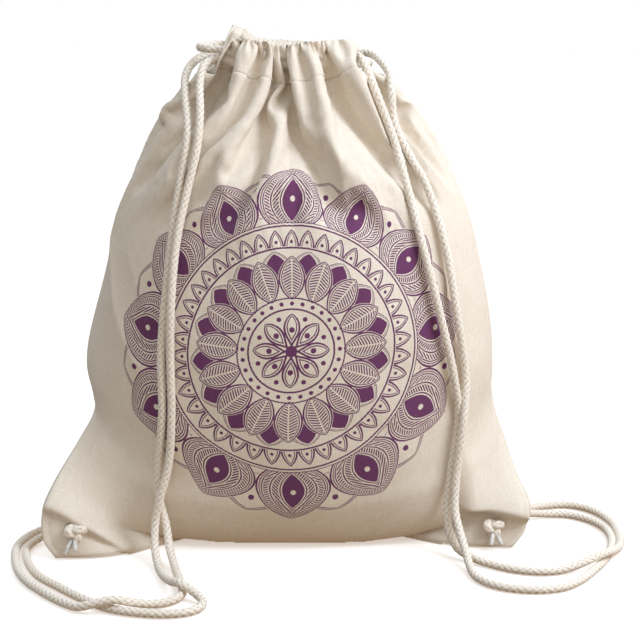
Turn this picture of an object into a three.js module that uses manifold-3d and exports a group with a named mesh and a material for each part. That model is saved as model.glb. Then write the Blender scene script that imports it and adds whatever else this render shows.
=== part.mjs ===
import * as THREE from 'three';
import Module from 'manifold-3d';
import { mergeVertices } from 'three/addons/utils/BufferGeometryUtils.js';

// Drawstring gym sack in natural cotton, standing stuffed on a surface.
// Millimetres, +Z up, front towards -Y, origin on the floor under the middle of the sack.

const wasm = await Module();
wasm.setup();

// Cloth walls
const PANEL_WIDTH = 380;
const PANEL_WALL = 1.5;
const SEAM_GAP = 0.3;
const FLOOR_PRESS = 1.2;
const SECTION_SAMPLES = 180;
const THREAD_TOLERANCE = 1e-6;
const FOLD_SPREAD = 190;
const FOLD_FULL_SHARE = 1 / 3;

// Corner ears: the belly rolls over the flat corner along a slanting fold
const EAR_FOLD_UP = 46;
const EAR_FOLD_IN = 95;
const EAR_ROLL = 11;
const EAR_ROLL_WIDTH = 24;
const EAR_ROLL_START = -6;
const EAR_ROLL_FULL = 4;
const EAR_ROLL_FADE = 0.6;
const EAR_ROLL_END = 1.3;
const EAR_THIN = 8;
const EAR_THICK = 30;
const EAR_TOP = 110;
const EAR_TOP_END = 165;
const EAR_START = 0.5;
const EAR_FULL = 0.7;

// Gathered tunnels along the mouth, around the cords
const FRONT_LIFT_SHARE = 0.4;
const MOUTH_MIDDLE = 24;
const MOUTH_END = 14;
const MOUTH_LEFT = 53;
const MOUTH_RIGHT = 44;
const CASING_FIRST_FOLD = 2;
const CASING_LAST_FOLD = 17;
const CASING_RUFFLE = 3.6;
const CASING_GAP = 0.3;

// Plaited cords and their knots
const CORD_DIAMETER = 6;
const CORD_SIDES = 8;
const LEFT_CORD_LEVEL = 12.5;
const RIGHT_CORD_LEVEL = 19.5;
const TUNNEL_STEPS = 6;
const TURN_STEPS = 6;
const HOLE_RADIUS = 7.5;
const HOLE_LENGTH = 70;
const HOLE_SIDES = 16;
const KNOT_LOBE = 1.75;
const KNOT_DEPTH = 2.2;
const KNOT_ARCS = 3;
const KNOT_ARC_STEPS = 9;
const KNOT_ARC_OVERRUN = 1.02;
const KNOT_STAND_OFF = 10.5;
const THROAT_RADIUS = 6.8;
const THROAT_START = 1.8;
const THROAT_END = 14.5;
const TAIL_RADIUS = 1.8;
const TAIL_SIDES = 8;

const COTTON = { color: 0xece4d6, roughness: 0.95, metalness: 0 };
const PLAIT = { color: 0xf1ece2, roughness: 0.9, metalness: 0 };

const FRONT = -1;
const BACK = 1;
const LEFT = -1;
const RIGHT = 1;

// Named rows from a list of column names and rows of values
function table(columns, ...rows) {
  return rows.map((row) => Object.fromEntries(columns.map((name, i) => [name, row[i]])));
}

// Sections of the sack, from the bottom seam to the stitch line under the tunnels.
// up: distance up the cloth from the bottom seam
// belly, bellyZ: how far the middle of a panel stands out from the centre plane, and its height
// left, right, seamZ: where the side seams are
// leftY, rightY: how far forward (negative) the side seams come
// slit: half the opening between the panels at the side of the mouth
// lift: how much higher the left side of the mouth stands
// square: flatness of the middle, edge: 0.5 for a round side and more for a thin ear
// fold: depth of the gathered folds
const SECTIONS = table(
  [
    'up', 'belly', 'bellyZ', 'left', 'right', 'seamZ', 'leftY', 'rightY',
    'slit', 'lift', 'square', 'edge', 'fold',
  ],
  [0, 0, 0, 170, 166, 0, -80, -56, 0, 0, 3.0, 4.5, 0],
  [38, 38, 0, 180, 180, 34, -72, -46, 0, 0, 4.0, 2.6, 0],
  [58, 55, 8, 175, 171, 52, -58, -36, 0, 0, 3.4, 1.4, 0],
  [88, 71, 33, 159, 162, 79, -34, -20, 0, 0, 2.8, 0.8, 0],
  [108, 77, 52, 150, 156, 97, -20, -12, 0, 0, 2.5, 0.67, 0],
  [128, 82, 72, 152, 154, 114, -10, -5, 0, 0, 2.3, 0.6, 0],
  [150, 86, 93, 156, 154, 135, -3, -2, 0, 0, 2.1, 0.54, 0],
  [178, 89, 121, 152, 152, 162, 0, 0, 0, 0, 2.0, 0.5, 0],
  [228, 90, 171, 138, 143, 210, 0, 0, 0, 0, 2.0, 0.5, 0],
  [278, 83, 220, 125, 130, 257, 0, 0, 0, 0, 2.0, 0.5, 3.5],
  [328, 68, 267, 104, 107, 301, 0, 0, 0, 0, 2.0, 0.5, 7.5],
  [368, 51, 302, 87, 87, 328, 0, 0, 0, 0, 2.0, 0.5, 9.5],
  [398, 36, 327, 71, 73, 341, 0, 0, 6, 4, 2.0, 0.5, 9.5],
  [416, 28, 343, 58, 61, 347, 0, 0, 13, 10, 2.0, 0.5, 9],
);

// Folds from left to right along the mouth of each panel.
// at: distance along the flat cloth from its left seam
// out: 1 for a full crest, -1 for a full valley
// reach: how far down from the stitch line the fold dies out
const FOLD_COLUMNS = ['at', 'out', 'reach'];
const FRONT_FOLDS = table(
  FOLD_COLUMNS,
  [0, 0.0, 60],
  [18, 0.5, 90],
  [34, -0.3, 90],
  [50, -1.0, 140],
  [66, 0.9, 150],
  [88, 1.0, 120],
  [112, 0.8, 120],
  [134, -0.8, 150],
  [148, 0.7, 150],
  [160, 0.6, 120],
  [174, -1.2, 210],
  [192, 0.9, 190],
  [214, 1.0, 120],
  [232, -0.6, 160],
  [252, -0.9, 200],
  [272, 1.1, 240],
  [290, 0.3, 160],
  [308, -1.0, 200],
  [326, -0.5, 150],
  [344, 0.7, 120],
  [362, -0.3, 90],
  [380, 0.0, 60],
);
const BACK_FOLDS = table(
  FOLD_COLUMNS,
  [0, 0.0, 60],
  [17, 0.5, 90],
  [35, -0.7, 130],
  [54, 0.9, 200],
  [74, 0.2, 120],
  [92, -1.0, 170],
  [110, 0.9, 140],
  [126, -0.6, 110],
  [144, 1.0, 190],
  [163, 0.5, 120],
  [181, -1.1, 220],
  [200, 0.9, 160],
  [218, -0.5, 110],
  [236, 0.9, 150],
  [254, 0.6, 120],
  [272, -1.1, 200],
  [290, 1.0, 170],
  [308, -0.4, 100],
  [326, 0.8, 170],
  [345, -0.8, 130],
  [363, 0.4, 90],
  [380, 0.0, 60],
);

// Smooth value of a column between two rows of a table
function between(rows, key, column, place) {
  const last = rows.length - 1;
  const next = Math.min(last, Math.max(1, rows.findIndex((row) => row[key] >= place)));
  const start = next - 1;
  const span = rows[next][key] - rows[start][key];
  const slope = (i) => {
    const low = rows[Math.max(0, i - 1)];
    const high = rows[Math.min(last, i + 1)];
    return ((high[column] - low[column]) / (high[key] - low[key])) * span;
  };
  const t = (place - rows[start][key]) / span;
  const ending = 3 * t ** 2 - 2 * t ** 3;
  const values = rows[start][column] * (1 - ending) + rows[next][column] * ending;
  return values + slope(start) * (t ** 3 - 2 * t ** 2 + t) + slope(next) * (t ** 3 - t ** 2);
}

function sectionAt(up) {
  const columns = Object.keys(SECTIONS[0]).filter((name) => name !== 'up');
  return { up, ...Object.fromEntries(columns.map((name) => [name, between(SECTIONS, 'up', name, up)])) };
}

// A point of the smooth section, across running from -1 at the left seam to 1 at the right one
function sectionPoint(section, face, across) {
  const half = across < 0 ? section.left : section.right;
  const seamY = (across < 0 ? section.leftY : section.rightY) + face * Math.max(0, section.slit);
  const lift = across < 0 ? section.lift * (face === FRONT ? FRONT_LIFT_SHARE : 1) : 0;
  const bulge = Math.max(0, 1 - Math.abs(across) ** section.square) ** section.edge;
  return new THREE.Vector3(
    across * half,
    THREE.MathUtils.lerp(seamY, face * section.belly, bulge),
    THREE.MathUtils.lerp(section.seamZ + Math.max(0, lift), section.bellyZ, bulge),
  );
}

// The smooth section measured along its thread: its length, and the place across it of a share of it.
// Both panels use the section with straight side seams, so that their corners lie opposite each other.
function sectionThread(section) {
  const straight = { ...section, leftY: 0, rightY: 0, slit: 0 };
  const places = [];
  const reach = [0];
  for (let i = 0; i <= SECTION_SAMPLES; i += 1) {
    places.push(Math.sin((i / SECTION_SAMPLES - 0.5) * Math.PI));
    if (i > 0) {
      const start = sectionPoint(straight, FRONT, places[i - 1]);
      reach.push(reach[i - 1] + start.distanceTo(sectionPoint(straight, FRONT, places[i])));
    }
  }
  const length = reach[SECTION_SAMPLES];
  const across = (share) => {
    const goal = share * length;
    const next = Math.max(1, reach.findIndex((distance) => distance >= goal - THREAD_TOLERANCE));
    const t = (goal - reach[next - 1]) / (reach[next] - reach[next - 1]);
    return THREE.MathUtils.lerp(places[next - 1], places[next], t);
  };
  return { length, across };
}

const TOP = SECTIONS[SECTIONS.length - 1].up;

// Heights up the cloth at which the panels have a row of corners: each section and halfway to the next
const LEVELS = SECTIONS.map((row) => row.up);
const STATIONS = LEVELS.flatMap((up, i) => (i === 0 ? [up] : [(LEVELS[i - 1] + up) / 2, up]));

// Where a fold lies across the cloth: at its own place by the mouth, evenly spread in the belly
function foldPlace(folds, index, up) {
  const even = (PANEL_WIDTH * index) / (folds.length - 1);
  return THREE.MathUtils.lerp(folds[index].at, even, THREE.MathUtils.smoothstep(TOP - up, 0, FOLD_SPREAD));
}

function foldDepth(fold, section) {
  const full = TOP - fold.reach * FOLD_FULL_SHARE;
  return section.fold * fold.out * THREE.MathUtils.smoothstep(section.up, TOP - fold.reach, full);
}

// How far the belly rolls forward over the flat ear at the lower corners
function earRoll(across, up) {
  const inward = Math.min(across, PANEL_WIDTH - across);
  const slant = Math.hypot(EAR_FOLD_UP, EAR_FOLD_IN);
  const above = ((up / EAR_FOLD_UP + inward / EAR_FOLD_IN - 1) * EAR_FOLD_UP * EAR_FOLD_IN) / slant;
  const lip = THREE.MathUtils.smoothstep(above, EAR_ROLL_START, EAR_ROLL_FULL);
  const near = lip * Math.exp(-((above / EAR_ROLL_WIDTH) ** 2));
  const corner = 1 - THREE.MathUtils.smoothstep(inward / EAR_FOLD_IN, EAR_ROLL_FADE, EAR_ROLL_END);
  return EAR_ROLL * near * corner;
}

// Smooth corners of one panel, a row for each station and a column for each fold
function smoothCorners(face, folds) {
  return STATIONS.map((up) => {
    const section = sectionAt(up);
    const thread = sectionThread(section);
    const across = (index) => thread.across(foldPlace(folds, index, up) / PANEL_WIDTH);
    return folds.map((fold, index) => sectionPoint(section, face, across(index)));
  });
}

// Direction across a grid of corners, towards -Y where the grid stands upright
function gridNormal(grid, i, j) {
  const along = grid[i][Math.min(j + 1, grid[i].length - 1)].clone().sub(grid[i][Math.max(j - 1, 0)]);
  const upward = grid[Math.min(i + 1, grid.length - 1)][j].clone().sub(grid[Math.max(i - 1, 0)][j]);
  return along.cross(upward).normalize();
}

// How far a corner belongs to a flat ear, where the two layers lie on each other: 1 in it, 0 outside
function earShare(section, across, layers) {
  const thin = 1 - THREE.MathUtils.smoothstep(layers, EAR_THIN, EAR_THICK);
  const low = 1 - THREE.MathUtils.smoothstep(section.up, EAR_TOP, EAR_TOP_END);
  return thin * low * THREE.MathUtils.smoothstep(Math.abs(2 * across - 1), EAR_START, EAR_FULL);
}

// Inner and outer corners of one panel, with its folds, its roll over the ears and its flat underside
function panelCorners(face, folds) {
  const smooth = smoothCorners(face, folds);
  const opposite = smoothCorners(-face, folds);
  const middle = smooth.map((row, i) => row.map((point, j) => point.clone().lerp(opposite[i][j], 0.5)));
  const inner = [];
  const outer = [];
  STATIONS.forEach((up, i) => {
    const section = sectionAt(up);
    const gather = Math.max(1, PANEL_WIDTH / sectionThread(section).length);
    inner.push([]);
    outer.push([]);
    folds.forEach((fold, j) => {
      const place = foldPlace(folds, j, up);
      const point = smooth[i][j].clone();
      const ear = earShare(section, place / PANEL_WIDTH, point.distanceTo(opposite[i][j]));
      const direction = gridNormal(smooth, i, j).multiplyScalar(-face);
      direction.y = face * Math.max(0, face * direction.y);
      direction.lerp(gridNormal(middle, i, j).multiplyScalar(-face), ear).normalize();
      point.addScaledVector(new THREE.Vector3(direction.x, direction.y, 0), foldDepth(fold, section));
      point.addScaledVector(new THREE.Vector3(0, face, 0).lerp(direction, ear), SEAM_GAP);
      if (face === FRONT) {
        point.y -= earRoll(place, up);
      }
      if (point.z < FLOOR_PRESS && ear < 1) {
        point.z = 0;
        direction.set(0, 0, -1);
      }
      point.z += PANEL_WALL;
      const out = point.clone().addScaledVector(direction, PANEL_WALL * gather);
      out.z = up === TOP ? point.z : Math.max(0, out.z);
      inner[i].push(point);
      outer[i].push(out);
    });
  });
  return { inner, outer };
}

// Closed solid between an outer and an inner sheet of corners, given as rows of points
function sheetSolid(outer, inner) {
  const rows = outer.length;
  const columns = outer[0].length;
  const positions = [...outer.flat(), ...inner.flat()].flatMap((point) => point.toArray());
  const index = [];
  const corner = (sheet, i, j) => sheet * rows * columns + i * columns + j;
  const quad = (a, b, c, d) => index.push(a, b, c, a, c, d);
  for (let i = 0; i + 1 < rows; i += 1) {
    for (let j = 0; j + 1 < columns; j += 1) {
      quad(corner(0, i, j), corner(0, i, j + 1), corner(0, i + 1, j + 1), corner(0, i + 1, j));
      quad(corner(1, i, j), corner(1, i + 1, j), corner(1, i + 1, j + 1), corner(1, i, j + 1));
    }
  }
  for (let i = 0; i + 1 < rows; i += 1) {
    quad(corner(0, i, 0), corner(0, i + 1, 0), corner(1, i + 1, 0), corner(1, i, 0));
    const last = columns - 1;
    quad(corner(0, i, last), corner(1, i, last), corner(1, i + 1, last), corner(0, i + 1, last));
  }
  for (let j = 0; j + 1 < columns; j += 1) {
    quad(corner(0, 0, j), corner(1, 0, j), corner(1, 0, j + 1), corner(0, 0, j + 1));
    const last = rows - 1;
    quad(corner(0, last, j), corner(0, last, j + 1), corner(1, last, j + 1), corner(1, last, j));
  }
  return facingOut(positions, index);
}

// Geometry of a closed mesh, turned so that its faces point out
function facingOut(positions, index) {
  const at = (i) => new THREE.Vector3().fromArray(positions, 3 * i);
  let volume = 0;
  for (let i = 0; i < index.length; i += 3) {
    volume += at(index[i]).dot(at(index[i + 1]).cross(at(index[i + 2])));
  }
  const turned = volume < 0 ? index.slice().reverse() : index;
  const geometry = new THREE.BufferGeometry();
  geometry.setAttribute('position', new THREE.Float32BufferAttribute(positions, 3));
  geometry.setIndex(turned);
  return geometry;
}

// Rings of a tunnel: up from the stitch line, half its thickness there, and how far it has left the folds
const CASING_OUTSIDE = table(
  ['up', 'half', 'straight'],
  [0, 0.9, 0],
  [9, 4.6, 1],
  [16, 6.0, 1],
  [24, 5.4, 1],
  [30, 0, 1],
);
const CASING_INSIDE = table(
  ['up', 'half', 'straight'],
  [4, 0.3, 0.45],
  [9.3, 3.2, 1],
  [16, 4.5, 1],
  [23.5, 3.9, 1],
  [28, 0, 1],
);

// Distance of the cord from the centre plane along the mouth
function tunnelY(face, x) {
  const half = x < 0 ? MOUTH_LEFT : MOUTH_RIGHT;
  return face * THREE.MathUtils.lerp(MOUTH_MIDDLE, MOUTH_END, Math.min(1, (x / half) ** 2));
}

// One closed ring of a tunnel over a corner of the stitch line
function casingRing(face, stitch, fold, profile) {
  const side = (row, sign) => {
    const ruffled = row.straight === 1 && row.half > 0 ? CASING_RUFFLE * Math.max(0, sign * fold.out) : 0;
    const middle = THREE.MathUtils.lerp(stitch.y, tunnelY(face, stitch.x), row.straight);
    const y = middle + face * sign * (row.half + ruffled);
    return new THREE.Vector3(stitch.x, y, stitch.z + CASING_GAP + row.up);
  };
  const top = profile[profile.length - 1];
  const flanks = profile.slice(0, -1);
  const front = flanks.map((row) => side(row, 1));
  const back = flanks.map((row) => side(row, -1));
  return [...front, side(top, 1), ...back.reverse()];
}

// Closed sleeve between rings of outer and inner corners, open at both ends
function sleeveSolid(outside, inside) {
  const rings = outside.length;
  const around = outside[0].length;
  const positions = [...outside.flat(), ...inside.flat()].flatMap((point) => point.toArray());
  const index = [];
  const corner = (sheet, i, k) => sheet * rings * around + i * around + (k % around);
  const quad = (a, b, c, d) => index.push(a, b, c, a, c, d);
  for (let k = 0; k < around; k += 1) {
    for (let i = 0; i + 1 < rings; i += 1) {
      quad(corner(0, i, k), corner(0, i + 1, k), corner(0, i + 1, k + 1), corner(0, i, k + 1));
      quad(corner(1, i, k), corner(1, i, k + 1), corner(1, i + 1, k + 1), corner(1, i + 1, k));
    }
    const last = rings - 1;
    quad(corner(0, 0, k), corner(0, 0, k + 1), corner(1, 0, k + 1), corner(1, 0, k));
    quad(corner(0, last, k), corner(1, last, k), corner(1, last, k + 1), corner(0, last, k + 1));
  }
  return facingOut(positions, index);
}

// A tunnel stands on the stitch line of its panel, between the two side slits
function casingSolid(face, folds, corners) {
  const top = STATIONS.length - 1;
  const stitches = folds.map((fold, j) => corners.inner[top][j].clone().lerp(corners.outer[top][j], 0.5));
  const columns = folds.map((fold, j) => j).slice(CASING_FIRST_FOLD, CASING_LAST_FOLD + 1);
  const rings = (profile) => columns.map((j) => casingRing(face, stitches[j], folds[j], profile));
  return sleeveSolid(rings(CASING_OUTSIDE), rings(CASING_INSIDE));
}

// A route whose steps are as close together as its points
class Route extends THREE.CatmullRomCurve3 {
  getUtoTmapping(share) {
    return share;
  }
}

// A tube with a step at each point of its route
function tube(points, radius, sides) {
  const section = new THREE.Shape();
  for (let i = 0; i < sides; i += 1) {
    const angle = (2 * Math.PI * i) / sides;
    section[i === 0 ? 'moveTo' : 'lineTo'](radius * Math.cos(angle), radius * Math.sin(angle));
  }
  const options = { steps: points.length - 1, extrudePath: new Route(points), bevelEnabled: false };
  return onlyCorners(new THREE.ExtrudeGeometry(section, options));
}

// Geometry with shared corners and nothing but positions
function onlyCorners(geometry) {
  geometry.deleteAttribute('normal');
  geometry.deleteAttribute('uv');
  return mergeVertices(geometry);
}

function toSolid(geometry) {
  const vertProperties = Float32Array.from(geometry.attributes.position.array);
  const triVerts = Uint32Array.from(geometry.index.array);
  return new wasm.Manifold(new wasm.Mesh({ numProp: 3, vertProperties, triVerts }));
}

function toGeometry(solid) {
  const mesh = solid.getMesh();
  const geometry = new THREE.BufferGeometry();
  geometry.setAttribute('position', new THREE.Float32BufferAttribute(mesh.vertProperties, 3));
  geometry.setIndex(Array.from(mesh.triVerts));
  return geometry;
}

// A rod between two points
function rod(from, to, radius, sides) {
  const geometry = onlyCorners(new THREE.CylinderGeometry(radius, radius, from.distanceTo(to), sides));
  const turn = new THREE.Quaternion();
  turn.setFromUnitVectors(new THREE.Vector3(0, 1, 0), to.clone().sub(from).normalize());
  geometry.applyQuaternion(turn);
  const middle = from.clone().lerp(to, 0.5);
  geometry.translate(middle.x, middle.y, middle.z);
  return geometry;
}

function vectors(list) {
  return list.map(([x, y, z]) => new THREE.Vector3(x, y, z));
}

// Corner holes: their place on the ear, the way the cord goes through, and the loose ends of the knot
const LEFT_CORNER = {
  hole: new THREE.Vector3(-159, -74.5, 21),
  through: new THREE.Vector3(0.35, -0.94, 0).normalize(),
  tails: vectors([[-9, -6, -11], [0, -8, -10]]),
};
const RIGHT_CORNER = {
  hole: new THREE.Vector3(154, -50.5, 17),
  through: new THREE.Vector3(-0.3, -0.95, 0).normalize(),
  tails: vectors([[-3, -8, -9], [8, -6, -8]]),
};

// Routes of the four free strands, from the corner hole over the floor and up the front to the mouth
const LEFT_FRONT_STRAND = vectors([
  [-162, -76.3, 21], [-167.8, -60.5, 19], [-174, -48, 13.5], [-182, -42, 8], [-191, -46, 4.5],
  [-196, -62, 3.5], [-192, -86, 3.5], [-178, -120, 3.5], [-158, -145, 3.5], [-139, -166, 3.5],
  [-117, -185, 3.5], [-93, -193, 3.5], [-79, -194, 3.5], [-66, -191, 3.5], [-58, -183, 3.5],
  [-57, -172, 4], [-64, -163, 7], [-73, -157, 10.4], [-81, -143, 7], [-89, -122, 4],
  [-95, -100, 5], [-98.5, -85, 13], [-98.5, -78, 28], [-95, -78, 45], [-88, -77, 72],
  [-85, -80, 110], [-85, -81, 155], [-83.5, -81, 195], [-79.5, -73, 236], [-72, -63, 272],
  [-66, -57, 298], [-64, -48, 322], [-65, -30, 346], [-62, -20.5, 358],
]);
const LEFT_BACK_STRAND = vectors([
  [-155.5, -74, 21], [-161.4, -58, 20], [-167, -42, 16.5], [-176, -30, 11], [-188, -26, 6.5],
  [-199, -36, 4], [-204, -57, 3.5], [-199, -92, 3.5], [-187, -126, 3.5], [-168, -154, 3.5],
  [-148, -176, 3.5], [-138, -184, 4.5], [-127, -187, 8], [-115, -187, 10.4], [-103, -184, 7.5],
  [-92, -179, 4.5], [-82, -174, 3.5], [-75, -167, 3.5], [-72, -157, 3.5], [-73, -146, 3.5],
  [-77, -127, 3.5], [-82, -106, 4.5], [-87, -89, 11], [-91, -76, 26], [-96, -71, 44],
  [-96, -72, 70], [-92, -77.5, 110], [-92, -77, 155], [-87.5, -74, 203], [-83, -66, 243],
  [-78, -58, 276], [-73, -50, 310], [-76, -30, 336], [-77, -15, 348], [-74, -2, 357], [-65, 10, 364],
]);
const RIGHT_FRONT_STRAND = vectors([
  [150.5, -50.2, 17], [155.6, -34, 16.5], [160, -18, 15], [168, -1, 12], [180, 16, 8.5],
  [194, 31, 5], [209, 41, 3.5], [224, 42, 3.5], [239, 31, 3.5], [250, 3, 3.5], [251, -30, 3.5],
  [246, -60, 4.5], [237, -82, 8], [226, -97, 10.4], [212, -105, 7.5], [196, -111, 4],
  [180, -114, 3.5], [162, -110, 3.5], [147, -100, 3.5], [134, -89, 4.5], [123, -77, 8],
  [117.5, -69, 18], [116, -64, 32], [119, -60, 62], [124, -58, 101], [120, -64, 132],
  [109.5, -68, 177], [97, -65, 225], [86, -54, 267], [76, -41, 303], [68.5, -37.5, 323],
  [61.5, -35, 341], [56, -27, 355], [50, -18, 364],
]);
const RIGHT_BACK_STRAND = vectors([
  [157, -52.2, 17], [162, -36, 16.5], [167, -20, 15], [176, -4, 11], [188, 9, 7], [203, 17, 4],
  [219, 16.5, 3.5], [233, 5, 3.5], [242, -14, 3.5], [243.5, -38, 3.5], [238, -66, 3.5],
  [228, -92, 3.5], [218, -110, 3.5], [206, -129, 3.5], [190, -145, 3.5], [172, -150, 3.5],
  [154, -147, 3.5], [140, -138, 3.5], [132, -124, 3.5], [129.5, -108, 4.5], [127.5, -93, 11],
  [124.5, -80, 21], [121.5, -71, 35], [122.5, -66, 60], [127, -64, 98], [129, -57, 130],
  [121.5, -59, 180], [112, -55, 231], [98, -46, 274], [87, -39, 293], [76, -32, 317],
  [74, -30, 338], [73, -21, 350], [67, -7, 360], [58, 8, 366],
]);
const LEFT_STRANDS = { front: LEFT_FRONT_STRAND, back: LEFT_BACK_STRAND };
const RIGHT_STRANDS = { front: RIGHT_FRONT_STRAND, back: RIGHT_BACK_STRAND };

// A cord at its level in a tunnel
function tunnelPoint(face, x, level) {
  const section = sectionAt(TOP);
  const across = x / (x < 0 ? section.left : section.right);
  return new THREE.Vector3(x, tunnelY(face, x), sectionPoint(section, face, across).z + PANEL_WALL + level);
}

// Through the front tunnel away from its own side, round the far slit, and back through the back tunnel
function throughTunnels(side, level) {
  const near = side === LEFT ? -MOUTH_LEFT : MOUTH_RIGHT;
  const far = side === LEFT ? MOUTH_RIGHT : -MOUTH_LEFT;
  const points = [];
  for (let i = 0; i <= TUNNEL_STEPS; i += 1) {
    points.push(tunnelPoint(FRONT, THREE.MathUtils.lerp(near, far, i / TUNNEL_STEPS), level));
  }
  const front = points[points.length - 1];
  const back = tunnelPoint(BACK, far, level);
  for (let i = 1; i < TURN_STEPS; i += 1) {
    const angle = (Math.PI * i) / TURN_STEPS;
    const turn = front.clone().lerp(back, (1 - Math.cos(angle)) / 2);
    turn.x -= side * MOUTH_END * Math.sin(angle);
    points.push(turn);
  }
  for (let i = 0; i <= TUNNEL_STEPS; i += 1) {
    points.push(tunnelPoint(BACK, THREE.MathUtils.lerp(far, near, i / TUNNEL_STEPS), level));
  }
  return points;
}

function cordSolid(strands, side, level) {
  const points = [...strands.front, ...throughTunnels(side, level), ...strands.back.slice().reverse()];
  return tube(points, CORD_DIAMETER / 2, CORD_SIDES);
}

// Overhand knot: three lobes that run into each other, the throat into the hole, and two loose ends
function knotSolid(corner) {
  const centre = corner.hole.clone().addScaledVector(corner.through, KNOT_STAND_OFF);
  const lobe = (angle) =>
    new THREE.Vector3(
      centre.x + KNOT_LOBE * (Math.sin(angle) + 2 * Math.sin(2 * angle)),
      centre.y + KNOT_DEPTH * Math.sin(3 * angle),
      centre.z + KNOT_LOBE * (Math.cos(angle) - 2 * Math.cos(2 * angle)),
    );
  const throat = corner.hole.clone().addScaledVector(corner.through, THROAT_START);
  const core = corner.hole.clone().addScaledVector(corner.through, THROAT_END);
  let solid = toSolid(rod(throat, core, THROAT_RADIUS, HOLE_SIDES));
  for (let arc = 0; arc < KNOT_ARCS; arc += 1) {
    const points = [];
    for (let i = 0; i <= KNOT_ARC_STEPS; i += 1) {
      points.push(lobe((2 * Math.PI * (arc + (i / KNOT_ARC_STEPS) * KNOT_ARC_OVERRUN)) / KNOT_ARCS));
    }
    solid = solid.add(toSolid(tube(points, CORD_DIAMETER / 2, CORD_SIDES)));
  }
  corner.tails.forEach((tail) => {
    solid = solid.add(toSolid(rod(centre, centre.clone().add(tail), TAIL_RADIUS, TAIL_SIDES)));
  });
  return toGeometry(solid);
}

// A panel with its two corner holes
function piercedPanel(corners) {
  let solid = toSolid(sheetSolid(corners.outer, corners.inner));
  [LEFT_CORNER, RIGHT_CORNER].forEach(({ hole, through }) => {
    const from = hole.clone().addScaledVector(through, -HOLE_LENGTH / 2);
    const to = hole.clone().addScaledVector(through, HOLE_LENGTH / 2);
    solid = solid.subtract(toSolid(rod(from, to, HOLE_RADIUS, HOLE_SIDES)));
  });
  return toGeometry(solid);
}

function addPiece(group, name, geometry, finish) {
  geometry.computeVertexNormals();
  const mesh = new THREE.Mesh(geometry, new THREE.MeshStandardMaterial(finish));
  mesh.name = name;
  group.add(mesh);
}

const sack = new THREE.Group();
const frontCorners = panelCorners(FRONT, FRONT_FOLDS);
const backCorners = panelCorners(BACK, BACK_FOLDS);
addPiece(sack, 'front_panel', piercedPanel(frontCorners), COTTON);
addPiece(sack, 'back_panel', piercedPanel(backCorners), COTTON);
addPiece(sack, 'front_casing', casingSolid(FRONT, FRONT_FOLDS, frontCorners), COTTON);
addPiece(sack, 'back_casing', casingSolid(BACK, BACK_FOLDS, backCorners), COTTON);
addPiece(sack, 'left_cord', cordSolid(LEFT_STRANDS, LEFT, LEFT_CORD_LEVEL), PLAIT);
addPiece(sack, 'right_cord', cordSolid(RIGHT_STRANDS, RIGHT, RIGHT_CORD_LEVEL), PLAIT);
addPiece(sack, 'left_knot', knotSolid(LEFT_CORNER), PLAIT);
addPiece(sack, 'right_knot', knotSolid(RIGHT_CORNER), PLAIT);

export default sack;
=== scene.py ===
"""Drawstring gym sack in natural cotton, standing stuffed on a floor, with its plaited cords."""

import math

import bpy
import numpy as np
from mathutils import Matrix, Vector
from mathutils.kdtree import KDTree


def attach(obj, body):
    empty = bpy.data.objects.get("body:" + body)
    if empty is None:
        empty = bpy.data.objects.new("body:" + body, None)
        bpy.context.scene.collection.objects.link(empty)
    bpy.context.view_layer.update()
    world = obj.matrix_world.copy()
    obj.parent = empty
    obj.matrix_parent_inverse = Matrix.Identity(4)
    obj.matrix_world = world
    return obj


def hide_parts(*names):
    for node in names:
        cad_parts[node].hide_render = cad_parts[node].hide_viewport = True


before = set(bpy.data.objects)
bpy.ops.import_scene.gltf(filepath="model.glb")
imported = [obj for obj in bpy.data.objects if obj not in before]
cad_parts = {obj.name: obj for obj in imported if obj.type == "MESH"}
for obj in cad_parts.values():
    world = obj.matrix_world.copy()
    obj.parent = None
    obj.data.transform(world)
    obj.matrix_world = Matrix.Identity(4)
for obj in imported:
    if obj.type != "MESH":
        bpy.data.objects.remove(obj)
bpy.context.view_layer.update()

bl_info = {
    "name": "Drawstring gym sack",
    "version": (1, 0, 0),
    "blender": (4, 5, 0),
    "location": "View3D > Sidebar > Sack",
    "description": "Builds a stuffed cotton sack with a gathered mouth and plaited cords",
    "category": "Object",
}

MM = 0.001
FRONT, BACK = -1, 1
LEFT, RIGHT = -1, 1
FACES = (FRONT, BACK)

# Cut cloth of one panel, in millimetres: its size, the open slits above its side seams, and its tunnel
PANEL_WIDTH = 380.0
STITCH_LINE = 416.0
SLIT_LENGTH = 34.0
TUNNEL_HEIGHT = 30.0
TUNNEL_FROM, TUNNEL_TO = 34.0, 308.0

# Grid of points of a panel and of the outer layer of its tunnel
COLUMNS, PANEL_ROWS, TUNNEL_ROWS = 201, 169, 13
PLACES = np.linspace(0, PANEL_WIDTH, COLUMNS)
FROM_SEAM = np.minimum(PLACES, PANEL_WIDTH - PLACES)
UPS = np.linspace(0, STITCH_LINE, PANEL_ROWS)
TUNNEL_UPS = np.linspace(0, TUNNEL_HEIGHT, TUNNEL_ROWS)[1:]
ALL_UPS = np.concatenate((UPS, TUNNEL_UPS + STITCH_LINE))
SEWN = UPS < STITCH_LINE - SLIT_LENGTH
IN_TUNNEL = (PLACES >= TUNNEL_FROM) & (PLACES <= TUNNEL_TO)

# Stuffed form: how far the cloth stands off its sections, the height over which the folds fan out,
# how much deeper a valley goes than a crest stands out, and half the width and depth of the belly
PANEL_STAND_OFF = 1.5
FOLD_SPREAD = 100.0
VALLEY_DEEPER = 2.0
BELLY_WIDE, BELLY_DEEP = 130.0, 80.0

# Cut cloth before it is gathered: where it is let out to its full width, how tight it lies round the belly,
# and how short it is along the upper side seams
SMOOTH_BELOW, GATHERED_ABOVE = 272.0, 335.0
BELLY_TIGHT = 0.985
SEAM_EASED = 0.86

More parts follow.
